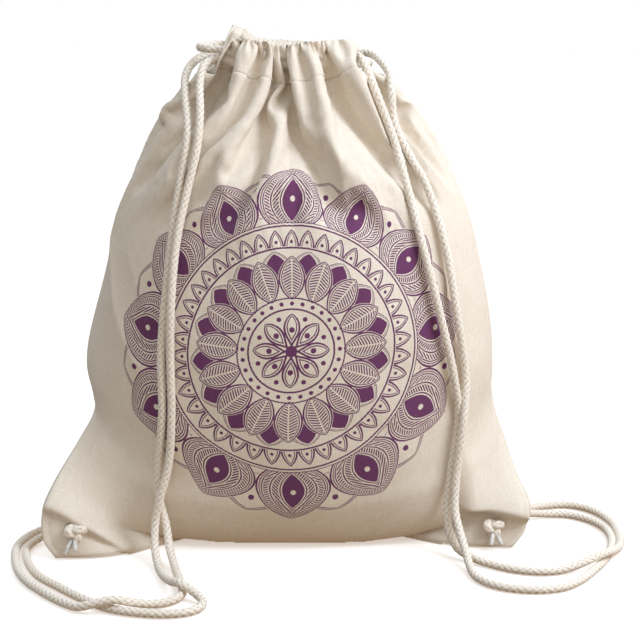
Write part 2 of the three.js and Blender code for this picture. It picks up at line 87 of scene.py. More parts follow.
# Sections of the stuffed sack, from the bottom seam to the stitch line, in millimetres.
# up: distance up the cloth. belly, belly_z: how far the middle of a panel stands out, and its height.
# left, right, seam_z: where the side seams are. left_y, right_y: how far forward they come.
# slit: half the gap beside the mouth. lift: how much higher its left side stands.
# square: flatness of the middle. edge: 0.5 for a round side, more for a thin ear. fold: depth of folds.
SECTION_NAMES = (
    "up", "belly", "belly_z", "left", "right", "seam_z", "left_y", "right_y",
    "slit", "lift", "square", "edge", "fold",
)
SECTIONS = np.array((
    (0, 0, 0, 172, 166, 0, -80, -56, 0, 0, 3.0, 4.5, 0),
    (14, 14, 0, 181, 176, 12.5, -77, -52, 0, 0, 3.4, 3.8, 0),
    (38, 38, 0, 182, 179, 34, -72, -46, 0, 0, 4.0, 2.6, 0),
    (58, 55, 8, 175, 171, 52, -58, -36, 0, 0, 3.4, 1.4, 0),
    (88, 71, 33, 159, 162, 79, -34, -20, 0, 0, 2.8, 0.8, 0),
    (108, 77, 52, 150, 156, 97, -20, -12, 0, 0, 2.5, 0.67, 0),
    (128, 82, 72, 152, 154, 114, -10, -5, 0, 0, 2.3, 0.6, 0),
    (150, 86, 93, 156, 154, 135, -3, -2, 0, 0, 2.1, 0.54, 0),
    (178, 89, 121, 152, 152, 162, 0, 0, 0, 0, 2.0, 0.5, 0),
    (228, 90, 171, 138, 143, 210, 0, 0, 0, 0, 2.0, 0.5, 0),
    (278, 83, 220, 125, 130, 257, 0, 0, 0, 0, 2.0, 0.5, 3.5),
    (328, 68, 267, 104, 107, 301, 0, 0, 0, 0, 2.0, 0.5, 7.5),
    (368, 51, 302, 87, 87, 328, 0, 0, 0, 0, 2.0, 0.5, 9.5),
    (398, 36, 327, 71, 73, 341, 0, 0, 6, 4, 2.0, 0.5, 9.5),
    (416, 28, 343, 58, 61, 347, 0, 0, 13, 10, 2.0, 0.5, 9),
))

# Folds from left to right along the mouth: place on the flat cloth at the stitch line and lower down,
# height of the crest or depth of the valley as a share, and how far down the fold dies out
FRONT_FOLDS = np.array((
    (0, 0, 0.0, 60), (22, 14, 0.5, 90), (66, 44, -1.1, 85), (98, 84, 0.9, 130), (138, 142, 0.8, 120),
    (156, 166, -0.8, 80), (167, 186, 0.7, 110), (181, 226, -1.2, 125), (206, 254, 0.9, 130),
    (234, 276, 0.7, 110), (262, 302, -1.0, 110), (300, 324, 1.1, 200), (330, 345, -0.6, 110),
    (356, 364, 0.4, 90), (380, 380, 0.0, 60),
))
BACK_FOLDS = np.array((
    (0, 0, 0.0, 60), (20, 20, 0.5, 90), (48, 44, -0.8, 110), (78, 72, 0.9, 150), (104, 100, 0.5, 110),
    (126, 124, -1.1, 130), (150, 150, 0.9, 140), (172, 172, -0.6, 100), (196, 198, 1.0, 150),
    (220, 222, 0.4, 110), (240, 244, -1.1, 140), (268, 270, 0.9, 150), (296, 296, -0.9, 120),
    (326, 328, 0.8, 130), (352, 354, -0.5, 100), (380, 380, 0.0, 60),
))
FOLDS = {FRONT: FRONT_FOLDS, BACK: BACK_FOLDS}

# Creases pressed into the front while it lay folded: height, width, and places on the flat cloth
FRONT_CREASES = (
    (3.2, 8.0, ((24, 372), (19, 342), (18, 300), (14, 255), (53, 208), (80, 184))),
    (0.9, 3.0, ((87, 359), (120, 372), (163, 381))),
    (0.8, 3.0, ((51, 362), (26, 384))),
    (0.8, 3.0, ((103, 369), (101, 352), (139, 344))),
    (0.9, 3.0, ((49, 255), (84, 220))),
    (0.7, 3.0, ((154, 327), (177, 287))),
    (0.7, 3.0, ((188, 240), (196, 215))),
    (0.9, 3.0, ((323, 135), (325, 104), (340, 50))),
    (0.7, 3.0, ((331, 97), (344, 62))),
    (-1.4, 10.0, ((142, 262), (140, 236))),
    (-1.2, 9.0, ((250, 150), (285, 138))),
)

# Corner ears: the belly rolls over the flat corner along a slanting fold.
# Height of the fold at the side seam, its rise for each millimetre inward, how it bends, how far it rolls.
# Then the height that the roll takes up, and how far inward it dies out
LEFT_EAR, RIGHT_EAR = (40.0, -0.22, -0.0075, 9.0), (24.0, 0.10, 0.0082, 14.0)
EAR_ROLL_WIDTH = 36.0
EAR_FADE = (44.0, 72.0)

# Gathered mouth: half its depth in the middle and at its ends, where it ends on the left and on the right,
# how high each cord runs in the tunnels, the room round a cord, the groove that it presses into the cloth,
# the heights where the cords lie on the panels and in the tunnels, and how low the tunnels' right end is
MOUTH_MIDDLE, MOUTH_END = 24.0, 14.0
MOUTH_LEFT, MOUTH_RIGHT = 53.0, 44.0
CORD_LEVEL = {LEFT: 12.5, RIGHT: 19.5}
CORD_CLEAR = 3.5
CORD_REACH, CORD_GROOVE = 16.0, 0.11
CORDS_ON_PANELS, CORDS_IN_TUNNELS = (26.0, 345.0), 355.0
SLIM_END_LOWER = 6.0

# Where the cloth of a tunnel lies along its tight upper edge: place on the flat cloth, and x
TOP_GATHER = {
    FRONT: np.array(((34, -42), (62, -37), (120, -24), (190, -4), (240, 12), (275, 27), (308, 43))),
    BACK: np.array(((34, -43), (308, 44))),
}

# Routes of the four free strands, from the corner hole over the floor and up the front to the mouth
LEFT_FRONT_STRAND = (
    (-162, -76.3, 21), (-167.8, -60.5, 19), (-174, -48, 13.5), (-182, -42, 8), (-191, -46, 4.5),
    (-196, -62, 3.5), (-192, -86, 3.5), (-178, -120, 3.5), (-158, -145, 3.5), (-139, -166, 3.5),
    (-117, -185, 3.5), (-93, -193, 3.5), (-79, -194, 3.5), (-66, -191, 3.5), (-58, -183, 3.5),
    (-57, -172, 4), (-64, -163, 7), (-73, -157, 10.4), (-81, -143, 7), (-89, -122, 4),
    (-95, -100, 5), (-98.5, -85, 13), (-98.5, -78, 28), (-95, -78, 45), (-88, -77, 72),
    (-85, -80, 110), (-85, -81, 155), (-83.5, -81, 195), (-79.5, -73, 236), (-72, -63, 272),
    (-66, -57, 298), (-64, -48, 322), (-65, -30, 346), (-62, -20.5, 358),
)
LEFT_BACK_STRAND = (
    (-155.5, -74, 21), (-161.4, -58, 20), (-167, -42, 16.5), (-176, -30, 11), (-188, -26, 6.5),
    (-199, -36, 4), (-204, -57, 3.5), (-199, -92, 3.5), (-187, -126, 3.5), (-168, -154, 3.5),
    (-148, -176, 3.5), (-138, -184, 4.5), (-127, -187, 8), (-115, -187, 10.4), (-103, -184, 7.5),
    (-92, -179, 4.5), (-82, -174, 3.5), (-75, -167, 3.5), (-72, -157, 3.5), (-73, -146, 3.5),
    (-77, -127, 3.5), (-82, -106, 4.5), (-87, -89, 11), (-91, -76, 26), (-96, -71, 44),
    (-96, -72, 70), (-92, -77.5, 110), (-92, -77, 155), (-87.5, -74, 203), (-83, -66, 243),
    (-78, -58, 276), (-73, -50, 310), (-76, -30, 336), (-77, -15, 348), (-74, -2, 357),
    (-65, 10, 364),
)
RIGHT_FRONT_STRAND = (
    (150.5, -50.2, 17), (155.6, -34, 16.5), (160, -18, 15), (168, -1, 12), (180, 16, 8.5),
    (194, 31, 5), (209, 41, 3.5), (224, 42, 3.5), (239, 31, 3.5), (250, 3, 3.5), (251, -30, 3.5),
    (246, -60, 4.5), (237, -82, 8), (226, -97, 10.4), (212, -105, 7.5), (196, -111, 4),
    (180, -114, 3.5), (162, -110, 3.5), (147, -100, 3.5), (134, -89, 4.5), (123, -77, 8),
    (117.5, -69, 18), (116, -64, 32), (119, -60, 62), (124, -58, 101), (120, -64, 132),
    (109.5, -68, 177), (97, -65, 225), (86, -54, 267), (76, -41, 303), (68.5, -37.5, 323),
    (61.5, -35, 341), (56, -27, 355), (50, -18, 364),
)
RIGHT_BACK_STRAND = (
    (157, -52.2, 17), (162, -36, 16.5), (167, -20, 15), (176, -4, 11), (188, 9, 7), (203, 17, 4),
    (219, 16.5, 3.5), (233, 5, 3.5), (242, -14, 3.5), (243.5, -38, 3.5), (238, -66, 3.5),
    (228, -92, 3.5), (218, -110, 3.5), (206, -129, 3.5), (190, -145, 3.5), (172, -150, 3.5),
    (154, -147, 3.5), (140, -138, 3.5), (132, -124, 3.5), (129.5, -108, 4.5), (127.5, -93, 11),
    (124.5, -80, 21), (121.5, -71, 35), (122.5, -66, 60), (127, -64, 98), (129, -57, 130),
    (121.5, -59, 180), (112, -55, 231), (98, -46, 274), (87, -39, 293), (76, -32, 317),
    (74, -30, 338), (73, -21, 350), (67, -7, 360), (58, 8, 366),
)
STRANDS = {LEFT: (LEFT_FRONT_STRAND, LEFT_BACK_STRAND), RIGHT: (RIGHT_FRONT_STRAND, RIGHT_BACK_STRAND)}

# Plait of a cord: spacing of its rings, points of a ring, length in which a strand goes half way round,
# and depth of the grooves as a share of the radius
PLAIT_STEP = 0.8
PLAIT_SIDES = 20
PLAIT_LAY = 10.0
PLAIT_DEPTH = 0.24

# Corner holes: place, the way the cord goes through, and the loose ends of the knot
LEFT_CORNER = ((-159, -74.5, 21), (0.35, -0.94, 0), ((-6.5, -6, -12.5), (0.5, -8, -9.5)))
RIGHT_CORNER = ((154, -50.5, 17), (-0.3, -0.95, 0), ((-2.5, -8, -9.5), (4.5, -7, -9.5)))
HOLE_WIDE, HOLE_HIGH = 6.4, 3.3

# Knot in front of a corner hole: its distance, the sizes of its lobes, how far they cross, how much fuller
# its cord is, where its taped ends begin and end, and the shape of their tips
KNOT_STAND_OFF = 6.8
KNOT_LOBES = (2.25, 2.7, 1.75)
KNOT_CROSSING = 1.55
KNOT_FULLER = 1.12
TAIL_FROM, TAIL_TO = 0.25, 1.15
TAIL_TIP, TAIL_SHOULDER, TAIL_BEVEL = 0.72, 0.2, 0.35

# Middle of the printed rosette on the flat cloth, spacing of two threads, and height of the weave in metres
ROSETTE_ACROSS, ROSETTE_UP = 190.0, 214.0
WEAVE_PITCH = 0.95
YARN_HEIGHT = 0.0004

# Key light: where it stands, where it points, its width and its colour
KEY_PLACE, KEY_AIM = (0.62, -0.42, 0.74), (0, 0, 0.2)
KEY_SIZE, KEY_COLOUR = 0.42, (0.92, 0.99, 1.12)

# Settling of the cloth, ten times larger than life. filling, gathers, seams: how firmly these parts
# are pulled back to the stuffed form. cap: the furthest that a point moves, in millimetres
SETTLING_SCALE = 10.0
CLOTH_SETTLING = {
    "frames": 14,
    "gravity": 0.3,
    "filling": 0.78,
    "gathers": 0.25,
    "seams": 0.5,
    "cap": 18.0,
    "cloth": {
        "quality": 5, "mass": 0.15, "tension_stiffness": 20.0, "compression_stiffness": 20.0,
        "shear_stiffness": 6.0, "bending_stiffness": 240.0, "tension_damping": 10.0,
        "compression_damping": 10.0, "shear_damping": 10.0, "bending_damping": 1.0,
        "air_damping": 3.0, "use_pressure": True, "uniform_pressure_force": 4.0,
    },
}


def smoothstep(value, low, high):
    share = np.clip((value - low) / (high - low), 0.0, 1.0)
    return share * share * (3 - 2 * share)


def lerp(start, end, share):
    return start + (end - start) * share


def reach_along(points, power=1.0):
    """Distance of each point along a line, with every step raised to a power"""
    steps = np.linalg.norm(np.diff(points, axis=0), axis=1)
    return np.concatenate(([0], np.cumsum(steps**power)))


def sections_at(ups):
    """Each named column of the section table at heights up the cloth, as a column of values"""
    keys, values = SECTIONS[:, 0], SECTIONS[:, 1:]
    last = len(keys) - 1
    rows = np.arange(last + 1)
    low, high = np.maximum(rows - 1, 0), np.minimum(rows + 1, last)
    slopes = (values[high] - values[low]) / (keys[high] - keys[low])[:, None]
    after = np.clip(np.searchsorted(keys, ups), 1, last)
    before = after - 1
    span = (keys[after] - keys[before])[:, None]
    t = (ups - keys[before])[:, None] / span
    ending = 3 * t**2 - 2 * t**3
    found = lerp(values[before], values[after], ending)
    found += slopes[before] * span * (t**3 - 2 * t**2 + t) + slopes[after] * span * (t**3 - t**2)
    section = {name: found[:, i : i + 1] for i, name in enumerate(SECTION_NAMES[1:])}
    section["up"] = np.asarray(ups, float)[:, None]
    section["slit"] = np.maximum(section["slit"], 0)
    section["lift"] = np.maximum(section["lift"], 0)
    return section


def section_points(section, face, across, straight=False):
    """Points of the smooth sections, across running from -1 at the left seam to 1 at the right one"""
    left = across < 0
    half = np.where(left, section["left"], section["right"])
    seam_y = np.zeros_like(across)
    if not straight:
        seam_y = np.where(left, section["left_y"], section["right_y"]) + face * section["slit"]
    lift = np.where(left, section["lift"] * (0.4 if face == FRONT else 1.0), 0.0)
    bulge = np.maximum(0, 1 - np.abs(across) ** section["square"]) ** section["edge"]
    y = lerp(seam_y, face * section["belly"], bulge)
    z = lerp(section["seam_z"] + lift, section["belly_z"], bulge)
    return np.stack((across * half, y, z), axis=-1)


def thread_places(section, shares):
    """Where shares of the cloth's width lie across each section, measured along its thread"""
    places = np.sin((np.arange(361) / 360 - 0.5) * np.pi)[None, :].repeat(len(section["up"]), 0)
    line = section_points(section, FRONT, places, straight=True)
    steps = np.linalg.norm(np.diff(line, axis=1), axis=2)
    reach = np.concatenate((np.zeros((len(steps), 1)), np.cumsum(steps, axis=1)), axis=1)
    across = [np.interp(shares * row[-1], row, place) for row, place in zip(reach, places)]
    return np.array(across), reach[:, -1:]


def eased_between(places, at, values):
    """Values at places, eased from each fold to the next"""
    index = np.interp(places, at, np.arange(len(at)))
    before = np.minimum(index.astype(int), len(at) - 2)
    share = 0.5 - 0.5 * np.cos(np.pi * (index - before))
    return lerp(values[before], values[before + 1], share)


def fold_depths(section, folds):
    """How far the folds stand out at each point of the grid"""
    rows = []
    crest, length = folds[:, 2], folds[:, 3]
    for up, fold in zip(section["up"][:, 0], section["fold"][:, 0]):
        at = lerp(folds[:, 0], folds[:, 1], smoothstep(STITCH_LINE - up, 0, FOLD_SPREAD))
        depth = fold * crest * np.where(crest < 0, VALLEY_DEEPER, 1.0)
        depth *= smoothstep(up, STITCH_LINE - length, STITCH_LINE - length / 3)
        rows.append(eased_between(PLACES, at, depth))
    return np.array(rows)


def ear_roll(up):
    """How far the belly rolls forward over the flat ears"""
    roll = np.zeros((len(up), COLUMNS))
    for inward, ear in ((PLACES, LEFT_EAR), (PANEL_WIDTH - PLACES, RIGHT_EAR)):
        fold_up, rise, bend, forward = ear
        slant = np.hypot(1, rise + 2 * bend * inward)
        above = (up - fold_up - (rise + bend * inward) * inward) / slant
        near = smoothstep(above, -6, 4) * np.exp(-((above / EAR_ROLL_WIDTH) ** 2))
        roll += forward * near * (1 - smoothstep(inward, *EAR_FADE))[None, :]
    return roll


def grid_normals(points):
    along = np.gradient(points, axis=1)
    upward = np.gradient(points, axis=0)
    normal = np.cross(along, upward)
    return normal / np.maximum(np.linalg.norm(normal, axis=-1, keepdims=True), 1e-9)


def slim_end():
    """Share by which the right end of a tunnel is slimmer than the rest"""
    return smoothstep(PLACES, 258, 300)


def panel_form(face):
    """Points of a stuffed panel in millimetres, a row for each height up the cloth"""
    section = sections_at(UPS)
    across, length = thread_places(section, PLACES / PANEL_WIDTH)
    smooth = section_points(section, face, across)
    opposite = section_points(section, -face, across)
    layers = np.linalg.norm(smooth - opposite, axis=-1)
    edge = np.abs(2 * PLACES / PANEL_WIDTH - 1)[None, :]
    ear = (1 - smoothstep(layers, 8, 30)) * (1 - smoothstep(section["up"], 110, 165))
    ear = (ear * smoothstep(edge, 0.5, 0.7))[..., None]
    out = -face * grid_normals(smooth)
    out[..., 1] = face * np.maximum(0, face * out[..., 1])
    out = lerp(out, -face * grid_normals((smooth + opposite) / 2), ear)
    out /= np.maximum(np.linalg.norm(out, axis=-1, keepdims=True), 1e-9)
    level = out * (1, 1, 0)
    points = smooth + level * fold_depths(section, FOLDS[face])[..., None]
    if face == FRONT:
        points[..., 1] -= ear_roll(section["up"])
    under = (points[..., 2] < 1.2) & (ear[..., 0] < 1)
    out[under] = (0, 0, -1)
    points[under, 2] = 0
    gather = np.maximum(1, PANEL_WIDTH / length)[..., None]
    seam = smoothstep(FROM_SEAM, 0, 10)[None, :, None]
    points = points + (0, 0, PANEL_STAND_OFF) + out * PANEL_STAND_OFF * gather * seam
    points[..., 2] = np.maximum(points[..., 2], 0)
    slim = slim_end() * (1 - smoothstep(PLACES, TUNNEL_TO + 10, PANEL_WIDTH))
    points[..., 2] += slim * SLIM_END_LOWER * smoothstep(section["up"], 378, STITCH_LINE)
    return points


def mouth_y(face, x):
    """Distance of the cords from the centre plane along the mouth"""
    half = np.where(x < 0, MOUTH_LEFT, MOUTH_RIGHT)
    return face * lerp(MOUTH_MIDDLE, MOUTH_END, np.minimum(1, (x / half) ** 2))


def ruffles(places):
    """Uneven small ruffles along the tight upper edge of a tunnel, from 0 to 1"""
    turn = places / 10.6 + 0.34 * np.sin(places / 21.0 + 1.0) + 0.22 * np.sin(places / 8.7)
    height = 0.72 + 0.28 * np.sin(places / 17.0 + 0.6)
    smooth_end = 1 - 0.65 * smoothstep(places, 255, 290)
    return np.abs(np.sin(math.pi * turn)) ** 0.8 * height * smooth_end


def tunnel_room(height, least):
    """Room for the cords on each side of a tunnel's middle, closing towards its upper edge"""
    return CORD_CLEAR * math.sqrt(max(least, 1 - (max(0.0, height - 19) / 11.5) ** 2))


def tunnel_form(face, stitches):
    """Outer layer of a gathered tunnel, from above its stitch line to its upper edge"""
    top_x = np.interp(PLACES, *TOP_GATHER[face].T)
    folds = FOLDS[face]
    big = np.clip(0.5 + 0.5 * eased_between(PLACES, folds[:, 0], folds[:, 2]), 0, 1.1)
    small = ruffles(PLACES + (0 if face == FRONT else 77))
    left_end = 4 * (1 - smoothstep(PLACES, 40, 95))
    dip = -left_end
    if face == FRONT:
        dip = 3.5 * np.exp(-(((PLACES - 185) / 55) ** 2)) + left_end
    sunk = dip + 1.2 * (1 - small) + SLIM_END_LOWER * slim_end()
    rows = []
    for height in TUNNEL_UPS:
        x = lerp(stitches[:, 0], top_x, smoothstep(height, 0, TUNNEL_HEIGHT))
        mix = lerp(big, small, smoothstep(height, 13, 29))
        proud = tunnel_room(height, 0.04) + lerp(10.5, 8.5, height / TUNNEL_HEIGHT) * mix
        y = lerp(stitches[:, 1], mouth_y(face, x) + face * proud, smoothstep(height, 0, 10))
        z = stitches[:, 2] + height * (1 - sunk / TUNNEL_HEIGHT)
        rows.append(np.stack((x, y, z), axis=-1))
    return np.array(rows)


def mixed_at(t, low, high, start, end):
    """Between two points, as t goes from low to high"""
    return (high - t) / (high - low) * start + (t - low) / (high - low) * end


def smooth_route(points, step):
    """Evenly spaced points in millimetres along a smooth curve through a route"""
    points = np.asarray(points, float)
    points = np.vstack((2 * points[0] - points[1], points, 2 * points[-1] - points[-2]))
    knots = reach_along(points, 0.5)
    curve = []
    for i in range(1, len(points) - 2):
        p0, p1, p2, p3 = points[i - 1 : i + 3]
        t0, t1, t2, t3 = knots[i - 1 : i + 3]
        t = np.linspace(t1, t2, 24, endpoint=False)[:, None]
        middle = mixed_at(t, t1, t2, p1, p2)
        early = mixed_at(t, t0, t2, mixed_at(t, t0, t1, p0, p1), middle)
        late = mixed_at(t, t1, t3, middle, mixed_at(t, t2, t3, p2, p3))
        curve.append(mixed_at(t, t1, t2, early, late))
    curve = np.vstack(curve + [points[-2:-1]])
    reach = reach_along(curve)
    places = np.linspace(0, reach[-1], int(round(reach[-1] / step)) + 1)
    return np.stack([np.interp(places, reach, curve[:, i]) for i in range(3)], axis=1)


def tunnel_point(face, x, level):
    """Place of a cord in a tunnel, at a level above its stitch line"""
    section = sections_at(np.array([STITCH_LINE]))
    half = section["left"] if x < 0 else section["right"]
    z = section_points(section, face, np.array([[x]]) / half)[0, 0, 2]
    return (x, float(mouth_y(face, x)), z + PANEL_STAND_OFF + level)


def through_tunnels(side):
    """Points through the front tunnel, round the far slit, and back through the back tunnel"""
    level = CORD_LEVEL[side]
    near, far = (-MOUTH_LEFT, MOUTH_RIGHT) if side == LEFT else (MOUTH_RIGHT, -MOUTH_LEFT)
    points = [tunnel_point(FRONT, x, level) for x in np.linspace(near, far, 7)]
    front, back = np.array(points[-1]), np.array(tunnel_point(BACK, far, level))
    for angle in np.linspace(0, math.pi, 7)[1:-1]:
        turn = lerp(front, back, (1 - math.cos(angle)) / 2)
        points.append((turn[0] - side * MOUTH_END * math.sin(angle), turn[1], turn[2]))
    points += [tunnel_point(BACK, x, level) for x in np.linspace(far, near, 7)]
    return points


def cord_line(side):
    """Centre line of a cord in millimetres, from its corner hole round the mouth and back to it"""
    front, back = STRANDS[side]
    return smooth_route([*front, *through_tunnels(side), *reversed(back)], PLAIT_STEP)


def plait_relief(reach, angle):
    """Height of a round plait of eight strands, from 0 in its grooves to 1 on its crowns"""
    turns = reach / PLAIT_LAY
    right = 2 * (angle / math.pi + turns)
    left = 2 * (angle / math.pi - turns)
    over = (np.floor(right) + np.floor(left)) % 2 == 0
    across = np.where(over, left % 1, right % 1)
    along = np.where(over, right % 1, left % 1)
    crown = np.sin(math.pi * across) ** 0.6
    return crown * (0.72 + 0.28 * np.sin(math.pi * along))


def plaited_tube(line, radius):
    """Points, faces and crown heights of a plaited cord along a centre line"""
    tangent = np.gradient(line, axis=0)
    tangent /= np.linalg.norm(tangent, axis=1, keepdims=True)
    side = np.cross(tangent[0], (0.3, 0.5, 0.8))
    sides = []
    for direction in tangent:
        side = side - direction * np.dot(side, direction)
        side = side / np.linalg.norm(side)
        sides.append(side)
    sides = np.array(sides)
    third = np.cross(tangent, sides)
    angle = np.arange(PLAIT_SIDES) * 2 * math.pi / PLAIT_SIDES
    relief = plait_relief(reach_along(line)[:, None], angle[None, :])
    round_out = radius * (1.04 - PLAIT_DEPTH * (1 - relief))
    cosine, sine = np.cos(angle)[None, :, None], np.sin(angle)[None, :, None]
    ring = sides[:, None, :] * cosine + third[:, None, :] * sine
    points = line[:, None, :] + ring * round_out[..., None]
    index = np.arange(len(line) * PLAIT_SIDES).reshape(-1, PLAIT_SIDES)
    following = np.roll(index, -1, axis=1)
    faces = np.stack((index[:-1], following[:-1], following[1:], index[1:]), axis=-1).reshape(-1, 4)
    faces = [*faces.tolist(), index[0, ::-1].tolist(), index[-1].tolist()]
    return points.reshape(-1, 3), faces, relief.reshape(-1)


def new_mesh_object(name, points, faces):
    mesh = bpy.data.meshes.new(name)
    mesh.from_pydata((np.asarray(points) * MM).tolist(), [], faces)
    mesh.validate()
    mesh.update()
    obj = bpy.data.objects.new(name, mesh)
    bpy.context.collection.objects.link(obj)
    return obj


def grid_faces(index):
    quads = np.stack((index[:-1, :-1], index[:-1, 1:], index[1:, 1:], index[1:, :-1]), axis=-1)
    return quads.reshape(-1, 4)


def ungathered(points):
    """The same cloth with its upper part let out to the full cut width, straight up from the belly"""
    row = int(np.searchsorted(ALL_UPS, SMOOTH_BELOW))
    rim = points[row]
    above = ALL_UPS[row:, None] - ALL_UPS[row]
    blend = smoothstep(above, 0, GATHERED_ABOVE - SMOOTH_BELOW)
    width = np.sum(np.linalg.norm(np.diff(rim, axis=0), axis=1))
    let_out = lerp(1.0, PANEL_WIDTH / width, blend)
    eased = lerp(SEAM_EASED, 1.0, smoothstep(FROM_SEAM, 10, 70))
    straight = np.stack((rim[:, 0] * let_out, rim[:, 1] * let_out, rim[:, 2] + above * eased), axis=-1)
    rest = np.concatenate((points[:row], lerp(points[row:], straight, blend[..., None])))
    tight = lerp(BELLY_TIGHT, 1.0, smoothstep(ALL_UPS, SMOOTH_BELOW, GATHERED_ABOVE))[:, None]
    z = rim[:, 2] + (rest[..., 2] - rim[:, 2]) * tight**0.4
    return np.stack((rest[..., 0] * tight, rest[..., 1] * tight, z), axis=-1)


def sewn_cloth():
    """Both panels with the outer layers of their tunnels, sewn along the sides and the bottom.

    Gives the stuffed points, the cut points, the grids of point numbers, the numbers in use, and the faces.
    """
    forms = {face: panel_form(face) for face in FACES}
    seam = (forms[FRONT] + forms[BACK]) / 2
    index = np.arange(2 * len(ALL_UPS) * COLUMNS).reshape(2, len(ALL_UPS), COLUMNS)
    index = dict(zip(FACES, index))
    for column in (0, -1):
        for face in FACES:
            forms[face][SEWN, column] = seam[SEWN, column]
        index[BACK][:PANEL_ROWS][SEWN, column] = index[FRONT][:PANEL_ROWS][SEWN, column]
    index[BACK][0] = index[FRONT][0]
    stuffed, cut, faces = [], [], []
    for face in FACES:
        forms[face][0] = seam[0]
        points = np.concatenate((forms[face], tunnel_form(face, forms[face][-1])))
        stuffed.append(points.reshape(-1, 3))
        cut.append(ungathered(points).reshape(-1, 3))
        quads = grid_faces(index[face]).reshape(len(ALL_UPS) - 1, COLUMNS - 1, 4)
        keep = np.ones(quads.shape[:2], bool)
        keep[PANEL_ROWS - 1 :, ~(IN_TUNNEL[:-1] & IN_TUNNEL[1:])] = False
        faces.append(quads[keep][:, ::-face])
    used, faces = np.unique(np.concatenate(faces), return_inverse=True)
    return np.concatenate(stuffed), np.concatenate(cut), index, used, faces.reshape(-1, 4).tolist()


def pull_to_form(settings, points, index):
    """How firmly each point is pulled back to the stuffed form, 1 where it stays in place"""
    gathered = smoothstep(ALL_UPS, SMOOTH_BELOW - 80, GATHERED_ABOVE - 10)
    firm = lerp(settings["filling"], settings["gathers"], gathered)
    seam_pull = settings["seams"] * (1 - smoothstep(FROM_SEAM, 12, 60))
    held = np.zeros(len(points))
    for face in FACES:
        held[index[face]] = np.maximum(firm[:, None], seam_pull[None, :])
    held[points[:, 2] < 0.4] = 1.0
    for face in FACES:
        held[index[face][-1]] = 1.0
        held[index[face][PANEL_ROWS - 1, ~IN_TUNNEL]] = 1.0
    return held


def settle_cloth(settings):
    """Points of the sewn cloth before and after it settles, with the grids of point numbers"""
    points, cut, index, used, faces = sewn_cloth()
    obj = new_mesh_object("settling_cloth", points[used] * SETTLING_SCALE, faces)
    obj.shape_key_add(name="stuffed")
    rest_shape = obj.shape_key_add(name="cut")
    rest_shape.data.foreach_set("co", (cut[used] * SETTLING_SCALE * MM).ravel())
    group = obj.vertex_groups.new(name="held")
    for i, weight in enumerate(pull_to_form(settings, points, index)[used].tolist()):
        group.add((i,), weight, "REPLACE")
    # The cloth keeps to its rest shape only when another modifier stands before it. This one changes nothing
    obj.modifiers.new("unchanged", "WELD").merge_threshold = 1e-7
    cloth = obj.modifiers.new("settle", "CLOTH")
    cloth.settings.rest_shape_key = rest_shape
    cloth.settings.vertex_group_mass = "held"
    for name, value in settings["cloth"].items():
        setattr(cloth.settings, name, value)
    cloth.settings.effector_weights.gravity = settings["gravity"]
    cloth.collision_settings.use_collision = False
    cloth.point_cache.frame_start = 1
    cloth.point_cache.frame_end = settings["frames"]
    scene = bpy.context.scene
    for step in range(1, settings["frames"] + 1):
        scene.frame_set(step)
    evaluated = obj.evaluated_get(bpy.context.evaluated_depsgraph_get())
    settled = points.copy()
    settled[used] = mesh_points(evaluated.data) / SETTLING_SCALE
    scene.frame_set(1)
    bpy.data.objects.remove(obj)
    return points, settled, index


def tunnel_lining(face, outer):
    """Inner layer of a tunnel, from its upper edge down to the stitch line on the inside of the sack"""
    rows = []
    stitches, top = outer[0], outer[-1]
    small = ruffles(PLACES[IN_TUNNEL] + 140)
    for share in np.linspace(1, 0, TUNNEL_ROWS)[1:]:
        middle = lerp(stitches, top, share)
        height = share * TUNNEL_HEIGHT
        inside = mouth_y(face, middle[:, 0]) - face * (tunnel_room(height, 0.02) + 9.5 * small)
        y = lerp(stitches[:, 1] - face * 0.9, inside, smoothstep(height, 0, 10))
        y = lerp(y, top[:, 1], smoothstep(height, 25, 30))
        rows.append(np.stack((middle[:, 0], y, middle[:, 2]), axis=-1))
    return np.array(rows)


def pressed_smooth(move):
    """Evens out the fine ripples of the belly, where the filling presses the cloth smooth"""
    belly = 1 - smoothstep(UPS, SMOOTH_BELOW - 30, GATHERED_ABOVE)[:, None, None]
    even = move
    for _ in range(40):
        wide = np.pad(even, ((1, 1), (1, 1), (0, 0)), "edge")
        even = (wide[:-2, 1:-1] + wide[2:, 1:-1] + wide[1:-1, :-2] + wide[1:-1, 2:] + 2 * even) / 6
    return lerp(move, even, belly)


def pressed_marks(face):
    """How far the creases and the soft dents of the belly stand out from the panel"""
    s, up = np.meshgrid(PLACES, UPS)
    turn = s + (0 if face == FRONT else 130)
    marks = 1.1 * np.sin(turn / 29 + 0.9 * np.sin(up / 43) + 1.0)
    marks *= np.sin(up / 37 + 0.8 * np.sin(turn / 41) + 0.4)
    marks += 0.4 * np.sin(turn / 13 + up / 19 + 1.5 * np.sin(up / 31))
    for height, width, route in FRONT_CREASES if face == FRONT else ():
        near = np.full(s.shape, 1e9)
        for start, end in zip(route[:-1], route[1:]):
            way = np.subtract(end, start)
            along = ((s - start[0]) * way[0] + (up - start[1]) * way[1]) / (way @ way)
            along = np.clip(along, 0, 1)
            apart = np.hypot(s - start[0] - along * way[0], up - start[1] - along * way[1])
            near = np.minimum(near, apart)
        marks += height * np.exp(-near / width)
    return marks * smoothstep(FROM_SEAM, 2, 16) * smoothstep(up, 45, 75) * (1 - smoothstep(up, 385, 412))


